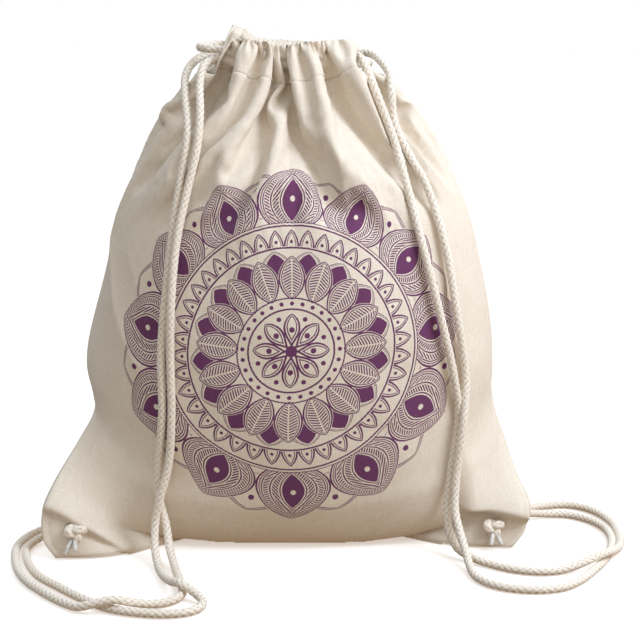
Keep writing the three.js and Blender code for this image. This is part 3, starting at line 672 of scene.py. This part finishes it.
def settled_grids(settings):
    """Points and flat places of both panels and both tunnels after the cloth has settled"""
    start, settled, index = settle_cloth(settings)
    move = settled - start
    length = np.linalg.norm(move, axis=1, keepdims=True)
    move *= settings["cap"] * np.tanh(length / settings["cap"]) / np.maximum(length, 1e-9)
    for face in FACES:
        move[index[face][:PANEL_ROWS]] = pressed_smooth(move[index[face][:PANEL_ROWS]])
    points = start + move
    points[:, 2] = np.maximum(points[:, 2], 0)
    grids = {}
    for face in FACES:
        grid = points[index[face]]
        panel = grid[:PANEL_ROWS]
        panel += -face * grid_normals(panel) * pressed_marks(face)[..., None]
        outer = grid[PANEL_ROWS - 1 :, IN_TUNNEL]
        sleeve = np.concatenate((outer, tunnel_lining(face, outer)))
        sleeve_ups = STITCH_LINE + np.linspace(0, 2 * TUNNEL_HEIGHT, len(sleeve))
        grids[face] = {
            "panel": (panel, np.stack(np.meshgrid(PLACES, UPS), axis=-1)),
            "tunnel": (sleeve, np.stack(np.meshgrid(PLACES[IN_TUNNEL], sleeve_ups), axis=-1)),
        }
    return grids


def select_only(obj):
    bpy.ops.object.select_all(action="DESELECT")
    bpy.context.view_layer.objects.active = obj
    obj.select_set(True)


def apply_modifier(obj, kind, **settings):
    modifier = obj.modifiers.new(kind.lower(), kind)
    for name, value in settings.items():
        setattr(modifier, name, value)
    select_only(obj)
    bpy.ops.object.modifier_apply(modifier=modifier.name)
    obj.select_set(False)


def shade_smooth(mesh):
    mesh.polygons.foreach_set("use_smooth", np.ones(len(mesh.polygons), bool))


def cloth_sheet(name, points, flat, face, finer):
    """A sheet of cloth from a grid of points, with its place on the flat cloth as UVs in metres"""
    rows, columns = points.shape[:2]
    quads = grid_faces(np.arange(rows * columns).reshape(rows, columns))[:, ::-face]
    obj = new_mesh_object(name, points.reshape(-1, 3), quads.tolist())
    layer = obj.data.uv_layers.new(name="flat_cloth")
    corners = np.empty(len(obj.data.loops), int)
    obj.data.loops.foreach_get("vertex_index", corners)
    layer.data.foreach_set("uv", (flat.reshape(-1, 2)[corners] * MM).ravel())
    shade_smooth(obj.data)
    if finer:
        apply_modifier(obj, "SUBSURF", levels=1, render_levels=1)
    return obj


def mesh_points(mesh):
    points = np.empty(len(mesh.vertices) * 3)
    mesh.vertices.foreach_get("co", points)
    return points.reshape(-1, 3) / MM


def mesh_normals(mesh):
    normals = np.empty(len(mesh.vertices) * 3)
    mesh.vertex_normals.foreach_get("vector", normals)
    return normals.reshape(-1, 3)


def set_mesh_points(mesh, points):
    mesh.vertices.foreach_set("co", (points * MM).ravel())
    mesh.update()


def stand_on_floor(mesh):
    points = mesh_points(mesh)
    points[:, 2] = np.maximum(points[:, 2], 0)
    set_mesh_points(mesh, points)


def cord_tree(lines):
    centres = np.concatenate(lines)
    tree = KDTree(len(centres))
    for i, centre in enumerate(centres):
        tree.insert(centre, i)
    tree.balance()
    return tree, centres


def clear_of_cords(mesh, lines):
    """Widens a tunnel along its normals until the cords lie inside it"""
    tree, centres = cord_tree(lines)
    points, normals = mesh_points(mesh), mesh_normals(mesh)
    nearest = np.array([tree.find(point)[1] for point in points])
    offset = points - centres[nearest]
    along = np.sum(offset * normals, axis=1)
    aside = np.linalg.norm(offset - along[:, None] * normals, axis=1)
    near = (aside < CORD_CLEAR) & (np.linalg.norm(offset, axis=1) < 3 * CORD_CLEAR)
    depth = np.sqrt(np.maximum(0, CORD_CLEAR**2 - aside**2))
    points += normals * (np.maximum(0, depth - along) * near)[:, None]
    set_mesh_points(mesh, points)


def press_cords_in(mesh, lines):
    """Presses the cloth back under the cords that lie over it, into a soft groove"""
    tree, centres = cord_tree(lines)
    points = mesh_points(mesh)
    for _ in range(2):
        found = [tree.find(point) for point in points]
        nearest = np.array([item[1] for item in found])
        close = np.array([item[2] for item in found]) < CORD_REACH
        centre = centres[nearest]
        out = centre * (1 / BELLY_WIDE**2, 1 / BELLY_DEEP**2, 0)
        out /= np.maximum(np.linalg.norm(out, axis=1, keepdims=True), 1e-9)
        offset = points - centre
        along = np.sum(offset * out, axis=1)
        aside = np.linalg.norm(offset - along[:, None] * out, axis=1)
        groove = CORD_GROOVE * aside**2 - CORD_CLEAR
        over = close & (points[:, 2] > 6) & (along > groove)
        points[over] += out[over] * (groove - along)[over][:, None]
    set_mesh_points(mesh, points)


def pierce(obj):
    """Cuts the corner holes into a sheet and rounds their edges"""
    mesh = obj.data
    points = mesh_points(mesh)
    inside = np.zeros(len(points), bool)
    for hole, through, _ in (LEFT_CORNER, RIGHT_CORNER):
        through = np.array(through) / np.linalg.norm(through)
        offset = points - np.array(hole)
        axial = offset @ through
        radial = offset - axial[:, None] * through
        share = np.hypot(np.linalg.norm(radial[:, :2], axis=1) / HOLE_WIDE, radial[:, 2] / HOLE_HIGH)
        near = np.abs(axial) < 14
        inside |= near & (share < 0.86)
        rim = near & (np.abs(share - 1) <= 0.14)
        points[rim] += radial[rim] * (1 / share[rim] - 1)[:, None]
    set_mesh_points(mesh, points)
    select_only(obj)
    bpy.ops.object.mode_set(mode="EDIT")
    bpy.ops.mesh.select_all(action="DESELECT")
    bpy.ops.object.mode_set(mode="OBJECT")
    mesh.vertices.foreach_set("select", inside)
    bpy.ops.object.mode_set(mode="EDIT")
    bpy.ops.mesh.delete(type="VERT")
    bpy.ops.object.mode_set(mode="OBJECT")
    obj.select_set(False)


class Field:
    """A number that changes over a surface, worked out by Math nodes"""

    def __init__(self, tree, socket):
        self.tree = tree
        self.socket = socket

    def math(self, operation, *others):
        node = self.tree.nodes.new("ShaderNodeMath")
        node.operation = operation
        for slot, value in enumerate((self, *others)):
            if isinstance(value, Field):
                self.tree.links.new(value.socket, node.inputs[slot])
            else:
                node.inputs[slot].default_value = value
        return Field(self.tree, node.outputs[0])

    def __add__(self, other):
        return self.math("ADD", other)

    def __sub__(self, other):
        return self.math("SUBTRACT", other)

    def __mul__(self, other):
        return self.math("MULTIPLY", other)

    def __truediv__(self, other):
        return self.math("DIVIDE", other)

    def below(self, other):
        return self.math("LESS_THAN", other)

    def above(self, other):
        return self.math("GREATER_THAN", other)

    def within(self, low, high):
        return self.above(low) * self.below(high)

    def either(self, other):
        return self.math("MAXIMUM", other)

    def without(self, other):
        return self * (other * -1.0 + 1.0)

    def clamped(self):
        return self.math("MINIMUM", 1.0).math("MAXIMUM", 0.0)

    def ramp(self, low, high):
        node = self.tree.nodes.new("ShaderNodeMapRange")
        node.interpolation_type = "SMOOTHSTEP"
        self.tree.links.new(self.socket, node.inputs["Value"])
        node.inputs["From Min"].default_value = low
        node.inputs["From Max"].default_value = high
        return Field(self.tree, node.outputs["Result"])


def new_material(name):
    material = bpy.data.materials.new(name)
    material.use_nodes = True
    tree = material.node_tree
    return material, tree, tree.nodes["Principled BSDF"]


def flat_cloth_fields(tree):
    """Place on the flat cloth in millimetres: across from the left seam, and up from the bottom seam"""
    place = tree.nodes.new("ShaderNodeUVMap")
    place.uv_map = "flat_cloth"
    parts = tree.nodes.new("ShaderNodeSeparateXYZ")
    tree.links.new(place.outputs["UV"], parts.inputs[0])
    return Field(tree, parts.outputs[0]) * 1000.0, Field(tree, parts.outputs[1]) * 1000.0


def joined_vector(tree, x, y):
    node = tree.nodes.new("ShaderNodeCombineXYZ")
    tree.links.new(x.socket, node.inputs[0])
    tree.links.new(y.socket, node.inputs[1])
    return node.outputs[0]


def noise_field(tree, vector, scale, detail=2.0, roughness=0.5):
    node = tree.nodes.new("ShaderNodeTexNoise")
    set_inputs(node, {"Scale": scale, "Detail": detail, "Roughness": roughness})
    tree.links.new(vector, node.inputs["Vector"])
    return Field(tree, node.outputs["Fac"])


def object_noise(tree, scale, detail=2.0, roughness=0.5):
    place = tree.nodes.new("ShaderNodeTexCoord")
    return noise_field(tree, place.outputs["Object"], scale, detail, roughness)


def set_inputs(node, values):
    for name, value in values.items():
        node.inputs[name].default_value = value


def add_bump(tree, shader, height, strength):
    bump = tree.nodes.new("ShaderNodeBump")
    set_inputs(bump, {"Strength": strength, "Distance": YARN_HEIGHT})
    tree.links.new(height.socket, bump.inputs["Height"])
    tree.links.new(bump.outputs["Normal"], shader.inputs["Normal"])


def mixed_colour(tree, share, start, end):
    node = tree.nodes.new("ShaderNodeMix")
    node.data_type = "RGBA"
    tree.links.new(share.socket, node.inputs["Factor"])
    for slot, value in (("A", start), ("B", end)):
        socket = next(item for item in node.inputs if item.name == slot and item.type == "RGBA")
        if isinstance(value, bpy.types.NodeSocket):
            tree.links.new(value, socket)
        else:
            socket.default_value = (*value, 1.0)
    return next(item for item in node.outputs if item.type == "RGBA")


def any_of(first, *others):
    for other in others:
        first = first.either(other)
    return first


def in_bands(field, *bands):
    return any_of(*(field.within(low, high) for low, high in bands))


def off_middle(angle, count, turn):
    """Share of the way from the middle of one of so many sectors to its edge"""
    return (angle * (count / (2 * math.pi)) + turn).math("PINGPONG", 0.5) * 2.0


def petal_ring(angle, reach, count, low, high, turn=0.0):
    """Millimetres inside the edge of a ring of pointed petals, share of their length, millimetres aside"""
    sector = off_middle(angle, count, turn)
    along = ((reach - low) / (high - low)).clamped()
    width = (along.math("POWER", 0.8) * math.pi).math("SINE").math("POWER", 0.75)
    arc = reach * (math.pi / count)
    return (width - sector) * arc, along, sector * arc


def dot_ring(angle, reach, count, middle, radius, turn=0.0):
    aside = off_middle(angle, count, turn) * (reach * (math.pi / count))
    apart = reach - middle
    return (aside * aside + apart * apart).below(radius * radius)


def rosette_print(across, up):
    """Share of ink of a round rosette of petals, rings and dots"""
    x, y = across - ROSETTE_ACROSS, up - ROSETTE_UP
    reach = (x * x + y * y).math("SQRT")
    angle = y.math("ARCTAN2", x) + math.pi
    rings = in_bands(reach, (29.5, 30.8), (37.4, 38.4), (73.2, 74.5), (89.0, 90.2), (91.4, 92.0))
    dots = [
        dot_ring(angle, reach, count, middle, radius, turn)
        for count, middle, radius, turn in (
            (8, 15.5, 2.0, 0.0), (8, 24.5, 1.7, 0.5), (28, 34.2, 1.5, 0.0), (40, 78.2, 1.2, 0.0),
        )
    ]
    flower, _, _ = petal_ring(angle, reach, 8, 3.0, 27.0)
    flower_ink = in_bands(flower, (0.0, 1.5), (2.3, 3.2)).either(reach.below(4.2))
    leaf, along, aside = petal_ring(angle, reach, 16, 37.0, 68.0)
    ribs = (along * 15.0 + aside * 0.22).math("FRACT").below(0.52) * leaf.above(3.4)
    leaf_ink = in_bands(leaf, (0.0, 1.3), (2.1, 2.9)).either(ribs.without(aside.below(0.5)))
    between, _, _ = petal_ring(angle, reach, 16, 52.0, 72.0, 0.5)
    between_ink = in_bands(between, (0.0, 1.0), (1.9, 2.5)).either(between.above(4.2)) * leaf.below(-0.4)
    scallop, _, _ = petal_ring(angle, reach, 40, 66.0, 87.0)
    arches = in_bands(scallop, (0.0, 1.3), (2.0, 2.7)) * reach.above(75.0)
    lotus, rising, off = petal_ring(angle, reach, 12, 84.0, 131.0)
    lotus_ink = any_of(
        in_bands(lotus, (0.0, 1.5), (2.3, 3.1), (3.9, 4.8), (10.0, 11.1), (17.4, 18.4)),
        (rising * 24.0 - off * 0.3).math("FRACT").below(0.52) * lotus.within(5.4, 9.2),
        (rising * 17.0 + off * 0.4).math("FRACT").below(0.58) * lotus.within(12.0, 16.6),
        lotus.above(19.4).without(dot_ring(angle, reach, 12, 108.0, 2.0)),
    )
    outer, _, _ = petal_ring(angle, reach, 12, 96.0, 128.0, 0.5)
    outer_ink = in_bands(outer, (0.0, 1.4), (2.3, 3.3), (4.6, 6.2))
    outer_ink = outer_ink.either(dot_ring(angle, reach, 12, 117.0, 2.2, 0.5)) * lotus.below(-0.9)
    border = lotus_ink.either(outer_ink) * reach.above(92.0)
    return any_of(rings, *dots, flower_ink, leaf_ink, between_ink, arches, border)


def cotton_material(name, colours, printed):
    """Plain-weave natural cotton with slubs, flecks and, on the front, the printed rosette"""
    material, tree, shader = new_material(name)
    across, up = flat_cloth_fields(tree)
    weft = noise_field(tree, joined_vector(tree, across * 0.07, up * 1.5), 1.0, 3.0, 0.6)
    warp = noise_field(tree, joined_vector(tree, across * 1.5, up * 0.07), 1.0, 3.0, 0.6)
    cloud = noise_field(tree, joined_vector(tree, across, up), 0.03, 3.0)
    fleck = noise_field(tree, joined_vector(tree, across * 0.35, up * 1.1), 1.0, 1.0)
    threads = (weft + warp) * 0.5
    colour = mixed_colour(tree, threads.ramp(0.36, 0.66), colours.slub, colours.cotton)
    colour = mixed_colour(tree, cloud.ramp(0.35, 0.7) * 0.35, colour, colours.cotton_cloud)
    colour = mixed_colour(tree, fleck.ramp(0.74, 0.80) * 0.5, colour, colours.fleck)
    if printed:
        worn = threads.ramp(0.30, 0.44) * 0.12 + 0.86
        ink = rosette_print(across + (weft - 0.5) * 1.2, up + (warp - 0.5) * 1.2)
        colour = mixed_colour(tree, ink * worn, colour, colours.ink)
    tree.links.new(colour, shader.inputs["Base Color"])
    set_inputs(shader, {
        "Roughness": 0.92, "Specular IOR Level": 0.18, "Sheen Weight": 0.1, "Sheen Roughness": 0.6,
    })
    weave_x = (across * (2 * math.pi / WEAVE_PITCH)).math("SINE")
    weave_y = (up * (2 * math.pi / WEAVE_PITCH)).math("SINE")
    add_bump(tree, shader, weave_x * weave_y * 0.35 + weft * 0.9 + warp * 0.9, 0.55)
    return material


def cord_material(colours):
    """Plaited cotton, with painted shade darkening the grooves between its strands"""
    material, tree, shader = new_material("plaited_cotton")
    attribute = tree.nodes.new("ShaderNodeAttribute")
    attribute.attribute_name = "crown"
    yarn = object_noise(tree, 900.0, 3.0, 0.6)
    tone = object_noise(tree, 45.0)
    crown = Field(tree, attribute.outputs["Fac"]) + (yarn - 0.5) * 0.4
    # Painted shade: the cord's colour darkens into the grooves between the strands, where the crown height
    # is low
    colour = mixed_colour(tree, crown.ramp(0.12, 0.75), colours.cord_groove_painted_shade, colours.cord)
    colour = mixed_colour(tree, tone.ramp(0.4, 0.7) * 0.3, colour, colours.slub)
    tree.links.new(colour, shader.inputs["Base Color"])
    set_inputs(shader, {"Roughness": 0.9, "Specular IOR Level": 0.2, "Sheen Weight": 0.15})
    add_bump(tree, shader, yarn, 0.4)
    return material


def tape_material(colours):
    """Pale paper tape wound round the ends of the cords"""
    material, tree, shader = new_material("wound_tape")
    mottle = object_noise(tree, 320.0, 3.0)
    colour = mixed_colour(tree, mottle.ramp(0.35, 0.7), colours.tape, colours.tape_shade)
    tree.links.new(colour, shader.inputs["Base Color"])
    set_inputs(shader, {"Roughness": 0.5})
    return material


def make_cord(name, line, radius, material):
    points, faces, crown = plaited_tube(line, radius)
    obj = new_mesh_object(name, points, faces)
    obj.data.attributes.new("crown", "FLOAT", "POINT").data.foreach_set("value", crown)
    shade_smooth(obj.data)
    obj.data.materials.append(material)
    return obj


def knot_line(corner):
    """Middle and closed line of an overhand knot in front of a corner hole, in millimetres"""
    hole, through, _ = corner
    centre = np.array(hole) + KNOT_STAND_OFF * np.array(through) / np.linalg.norm(through)
    turn = np.linspace(0, 2 * math.pi, 220)[:-1]
    wide, deep, high = KNOT_LOBES
    lobes = np.stack((
        wide * (np.sin(turn) + KNOT_CROSSING * np.sin(2 * turn)),
        deep * np.sin(3 * turn),
        high * (np.cos(turn) - KNOT_CROSSING * np.cos(2 * turn)),
    ), axis=1)
    return centre, centre + np.vstack((lobes, lobes[:1]))


def make_tail(name, start, end, radius, material):
    """A cord end wound with tape: a cylinder drawn in at its tip, with the edges rounded"""
    start, end = Vector(start) * MM, Vector(end) * MM
    bpy.ops.object.select_all(action="DESELECT")
    bpy.ops.mesh.primitive_cylinder_add(vertices=20, radius=radius * MM, depth=(end - start).length)
    obj = bpy.context.object
    obj.name = obj.data.name = name
    bpy.ops.object.mode_set(mode="EDIT")
    bpy.ops.mesh.select_all(action="SELECT")
    bpy.ops.mesh.bisect(plane_co=(0, 0, TAIL_SHOULDER * (end - start).length), plane_no=(0, 0, 1))
    bpy.ops.mesh.select_all(action="DESELECT")
    bpy.ops.object.mode_set(mode="OBJECT")
    tip = max(vertex.co.z for vertex in obj.data.vertices)
    for vertex in obj.data.vertices:
        vertex.select = vertex.co.z > tip - 1e-6
    bpy.ops.object.mode_set(mode="EDIT")
    bpy.ops.mesh.select_mode(type="VERT")
    bpy.ops.transform.resize(value=(TAIL_TIP, TAIL_TIP, 1.0))
    bpy.ops.mesh.bevel(offset=TAIL_BEVEL * radius * MM, segments=2, affect="EDGES")
    bpy.ops.object.mode_set(mode="OBJECT")
    turn = Vector((0, 0, 1)).rotation_difference(end - start).to_matrix().to_4x4()
    obj.data.transform(Matrix.Translation((start + end) / 2) @ turn)
    shade_smooth(obj.data)
    obj.data.materials.append(material)
    return obj


def join_into(target, others):
    bpy.ops.object.select_all(action="DESELECT")
    for obj in (*others, target):
        obj.select_set(True)
    bpy.context.view_layer.objects.active = target
    bpy.ops.object.join()
    target.select_set(False)


def number_prop(name, description, default, **more):
    return bpy.props.FloatProperty(name=name, description=description, default=default, **more)


def length_prop(name, description, default):
    return number_prop(name, description, default, unit="LENGTH", precision=4)


def colour_prop(name, description, default):
    return bpy.props.FloatVectorProperty(
        name=name, description=description, default=default, subtype="COLOR", min=0.0, max=1.0
    )


class SackSizes(bpy.types.PropertyGroup):
    cloth_thickness: length_prop("Cloth thickness", "Thickness of the cotton cloth", 0.0008)
    cord_diameter: length_prop("Cord diameter", "Diameter of the plaited cords", 0.006)
    left_cord_length: length_prop("Left cord length", "Length of the left cord between its knots", 1.83)
    right_cord_length: length_prop("Right cord length", "Length of the right cord between its knots", 1.85)
    tail_diameter: length_prop("Taped end diameter", "Diameter of the taped cord ends", 0.0036)


class SackColours(bpy.types.PropertyGroup):
    cotton: colour_prop("Cotton", "Natural cotton between its slubs", (0.88, 0.82, 0.725))
    slub: colour_prop("Slub", "Darker yarns of the weave", (0.755, 0.67, 0.555))
    cotton_cloud: colour_prop("Cotton cloud", "Warmer patches of the cloth", (0.855, 0.78, 0.665))
    fleck: colour_prop("Fleck", "Seed flecks in the cotton", (0.62, 0.50, 0.36))
    ink: colour_prop("Ink", "Printed rosette", (0.135, 0.028, 0.115))
    cord: colour_prop("Cord", "Crowns of the plaited cord", (0.90, 0.85, 0.765))
    # Painted shade for the grooves between the plait's strands, not a colour of the cord itself
    cord_groove_painted_shade: colour_prop("Cord groove", "Grooves between the cord's strands", (0.52, 0.40, 0.28))
    tape: colour_prop("Tape", "Tape round the cord ends", (0.75, 0.74, 0.71))
    tape_shade: colour_prop("Tape shade", "Mottled places on the tape", (0.55, 0.53, 0.50))


class StageSettings(bpy.types.PropertyGroup):
    floor: colour_prop("Floor", "Pale floor", (0.95, 0.93, 0.90))
    overhead: colour_prop("Overhead light", "Soft light from straight above", (0.92, 0.96, 1.0))
    walls: colour_prop("Light from the walls", "Dimmer light from front and right", (0.58, 0.485, 0.375))
    shaded: colour_prop("Shaded wall", "Little light from the left", (0.13, 0.11, 0.09))
    bounce: colour_prop("Bounced light", "Warm light from below", (0.42, 0.285, 0.17))
    key_power: number_prop("Key light", "Power of the soft key light", 5.3)
    floor_glow: number_prop("Floor glow", "Light that the lit floor gives off", 0.4)
    lens: number_prop("Lens", "Focal length in millimetres", 83.1)
    camera_place: bpy.props.FloatVectorProperty(
        name="Camera place", description="Where the camera stands",
        default=(0.022, -1.115, 0.369), subtype="TRANSLATION",
    )
    camera_pitch: number_prop(
        "Camera pitch", "How far the camera looks down", math.radians(10.4), subtype="ANGLE"
    )


def piece(obj, slot, *nodes):
    """A finished piece rides on the sack and stands for these CAD nodes, which it hides"""
    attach(obj, "root")
    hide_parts(*nodes)


def add_floor(settings):
    bpy.ops.object.select_all(action="DESELECT")
    bpy.ops.mesh.primitive_plane_add(size=40.0, location=(0, 0, 0))
    floor = bpy.context.object
    floor.name = floor.data.name = "floor"
    material, tree, shader = new_material("pale_floor")
    shade = [0.98 * value for value in settings.floor]
    colour = mixed_colour(tree, object_noise(tree, 3.0), settings.floor, shade)
    tree.links.new(colour, shader.inputs["Base Color"])
    set_inputs(shader, {
        "Roughness": 0.9, "Emission Color": (1.0, 1.0, 1.0, 1.0), "Emission Strength": settings.floor_glow,
    })
    floor.data.materials.append(material)
    floor.visible_diffuse = False


def add_key_light(settings):
    data = bpy.data.lights.new("key", "AREA")
    data.energy, data.size, data.color = settings.key_power, KEY_SIZE, KEY_COLOUR
    lamp = bpy.data.objects.new("key", data)
    lamp.location = KEY_PLACE
    lamp.rotation_euler = (lamp.location - Vector(KEY_AIM)).to_track_quat("Z", "Y").to_euler()
    bpy.context.collection.objects.link(lamp)


def soft_world(settings):
    """Light from above, dimmer walls that are shaded on the left, a white horizon, and a warm floor below"""
    world = bpy.data.worlds.new("soft_light")
    world.use_nodes = True
    tree = world.node_tree
    way = tree.nodes.new("ShaderNodeTexCoord")
    parts = tree.nodes.new("ShaderNodeSeparateXYZ")
    tree.links.new(way.outputs["Generated"], parts.inputs[0])
    rise = Field(tree, parts.outputs[2])
    lit_side = Field(tree, parts.outputs[0]).ramp(-0.8, 0.0)
    below = mixed_colour(tree, lit_side, settings.shaded, settings.bounce)
    walls = mixed_colour(tree, lit_side, settings.shaded, settings.walls)
    light = mixed_colour(tree, rise.ramp(-0.06, -0.03), below, (1.0, 1.0, 1.0))
    above = mixed_colour(tree, rise.ramp(0.05, 0.85), walls, settings.overhead)
    light = mixed_colour(tree, rise.ramp(0.05, 0.08), light, above)
    tree.links.new(light, tree.nodes["Background"].inputs["Color"])
    return world


def add_camera(settings):
    data = bpy.data.cameras.new("camera")
    data.lens, data.sensor_width = settings.lens, 36.0
    camera = bpy.data.objects.new("camera", data)
    camera.location = settings.camera_place
    camera.rotation_euler = (math.pi / 2 - settings.camera_pitch, 0, 0)
    bpy.context.collection.objects.link(camera)
    return camera


class SACK_OT_stage(bpy.types.Operator):
    """Pale floor, soft studio light and the camera"""

    bl_idname = "sack.stage"
    bl_label = "Stage"

    def execute(self, context):
        settings = context.scene.sack_stage
        add_floor(settings)
        add_key_light(settings)
        context.scene.world = soft_world(settings)
        context.scene.view_settings.view_transform = "Standard"
        context.scene.camera = add_camera(settings)
        return {"FINISHED"}


class SACK_OT_cords(bpy.types.Operator):
    """Both plaited cords with the knots that hold their ends at the corners"""

    bl_idname = "sack.cords"
    bl_label = "Cords and knots"

    def execute(self, context):
        sizes, colours = context.scene.sack_sizes, context.scene.sack_colours
        radius, tail_radius = sizes.cord_diameter / MM / 2, sizes.tail_diameter / MM / 2
        plait, tape = cord_material(colours), tape_material(colours)
        sides = (
            ("left", LEFT, LEFT_CORNER, sizes.left_cord_length),
            ("right", RIGHT, RIGHT_CORNER, sizes.right_cord_length),
        )
        for name, side, corner, length in sides:
            line = cord_line(side)
            cord = make_cord(f"{name}_cord_plait", line, radius, plait)
            centre, lobes = knot_line(corner)
            knot_route = smooth_route(lobes, PLAIT_STEP)
            knot = make_cord(f"{name}_knot_tied", knot_route, KNOT_FULLER * radius, plait)
            tails = []
            for i, tail in enumerate(np.array(corner[2])):
                start, end = centre + TAIL_FROM * tail, centre + TAIL_TO * tail
                tails.append(make_tail(f"{name}_tail_{i}", start, end, tail_radius, tape))
            join_into(knot, tails)
            piece(cord, "cord", f"{name}_cord")
            piece(knot, "cord", f"{name}_knot")
        return {"FINISHED"}


class SACK_OT_cloth(bpy.types.Operator):
    """Both panels and both gathered tunnels, settled as cut cloth"""

    bl_idname = "sack.cloth"
    bl_label = "Panels and tunnels"

    def execute(self, context):
        sizes, colours = context.scene.sack_sizes, context.scene.sack_colours
        plain = cotton_material("natural_cotton", colours, False)
        printed = cotton_material("printed_cotton", colours, True)
        lines = [cord_line(side)[::2] for side in (LEFT, RIGHT)]
        low, high = CORDS_ON_PANELS
        over_panels = [line[(line[:, 2] > low) & (line[:, 2] < high)] for line in lines]
        in_tunnels = [line[line[:, 2] > CORDS_IN_TUNNELS] for line in lines]
        thick = {"thickness": sizes.cloth_thickness, "offset": -1.0}
        grids = settled_grids(CLOTH_SETTLING)
        for face, side in ((FRONT, "front"), (BACK, "back")):
            panel = cloth_sheet(f"{side}_panel_cloth", *grids[face]["panel"], face, finer=False)
            press_cords_in(panel.data, over_panels)
            pierce(panel)
            apply_modifier(panel, "SOLIDIFY", **thick)
            stand_on_floor(panel.data)
            panel.data.materials.append(printed if face == FRONT else plain)
            piece(panel, "cotton", f"{side}_panel")
            tunnel = cloth_sheet(f"{side}_tunnel_cloth", *grids[face]["tunnel"], face, finer=True)
            clear_of_cords(tunnel.data, in_tunnels)
            apply_modifier(tunnel, "SOLIDIFY", **thick)
            tunnel.data.materials.append(plain)
            piece(tunnel, "cotton", f"{side}_casing")
        return {"FINISHED"}


class SACK_PT_panel(bpy.types.Panel):
    """Sack tools in the sidebar"""

    bl_idname = "SACK_PT_panel"
    bl_label = "Drawstring sack"
    bl_space_type = "VIEW_3D"
    bl_region_type = "UI"
    bl_category = "Sack"

    def draw(self, context):
        for operator in (SACK_OT_stage, SACK_OT_cords, SACK_OT_cloth):
            self.layout.operator(operator.bl_idname)
        for group in (context.scene.sack_sizes, context.scene.sack_colours, context.scene.sack_stage):
            for name in group.__annotations__:
                self.layout.prop(group, name)


CLASSES = (SackSizes, SackColours, StageSettings, SACK_OT_stage, SACK_OT_cords, SACK_OT_cloth, SACK_PT_panel)


def register():
    for item in CLASSES:
        bpy.utils.register_class(item)
    bpy.types.Scene.sack_sizes = bpy.props.PointerProperty(type=SackSizes)
    bpy.types.Scene.sack_colours = bpy.props.PointerProperty(type=SackColours)
    bpy.types.Scene.sack_stage = bpy.props.PointerProperty(type=StageSettings)


def unregister():
    del bpy.types.Scene.sack_sizes, bpy.types.Scene.sack_colours, bpy.types.Scene.sack_stage
    for item in reversed(CLASSES):
        bpy.utils.unregister_class(item)


def main():
    register()
    bpy.ops.sack.stage()
    bpy.ops.sack.cords()
    bpy.ops.sack.cloth()


if __name__ == "__main__":
    main()
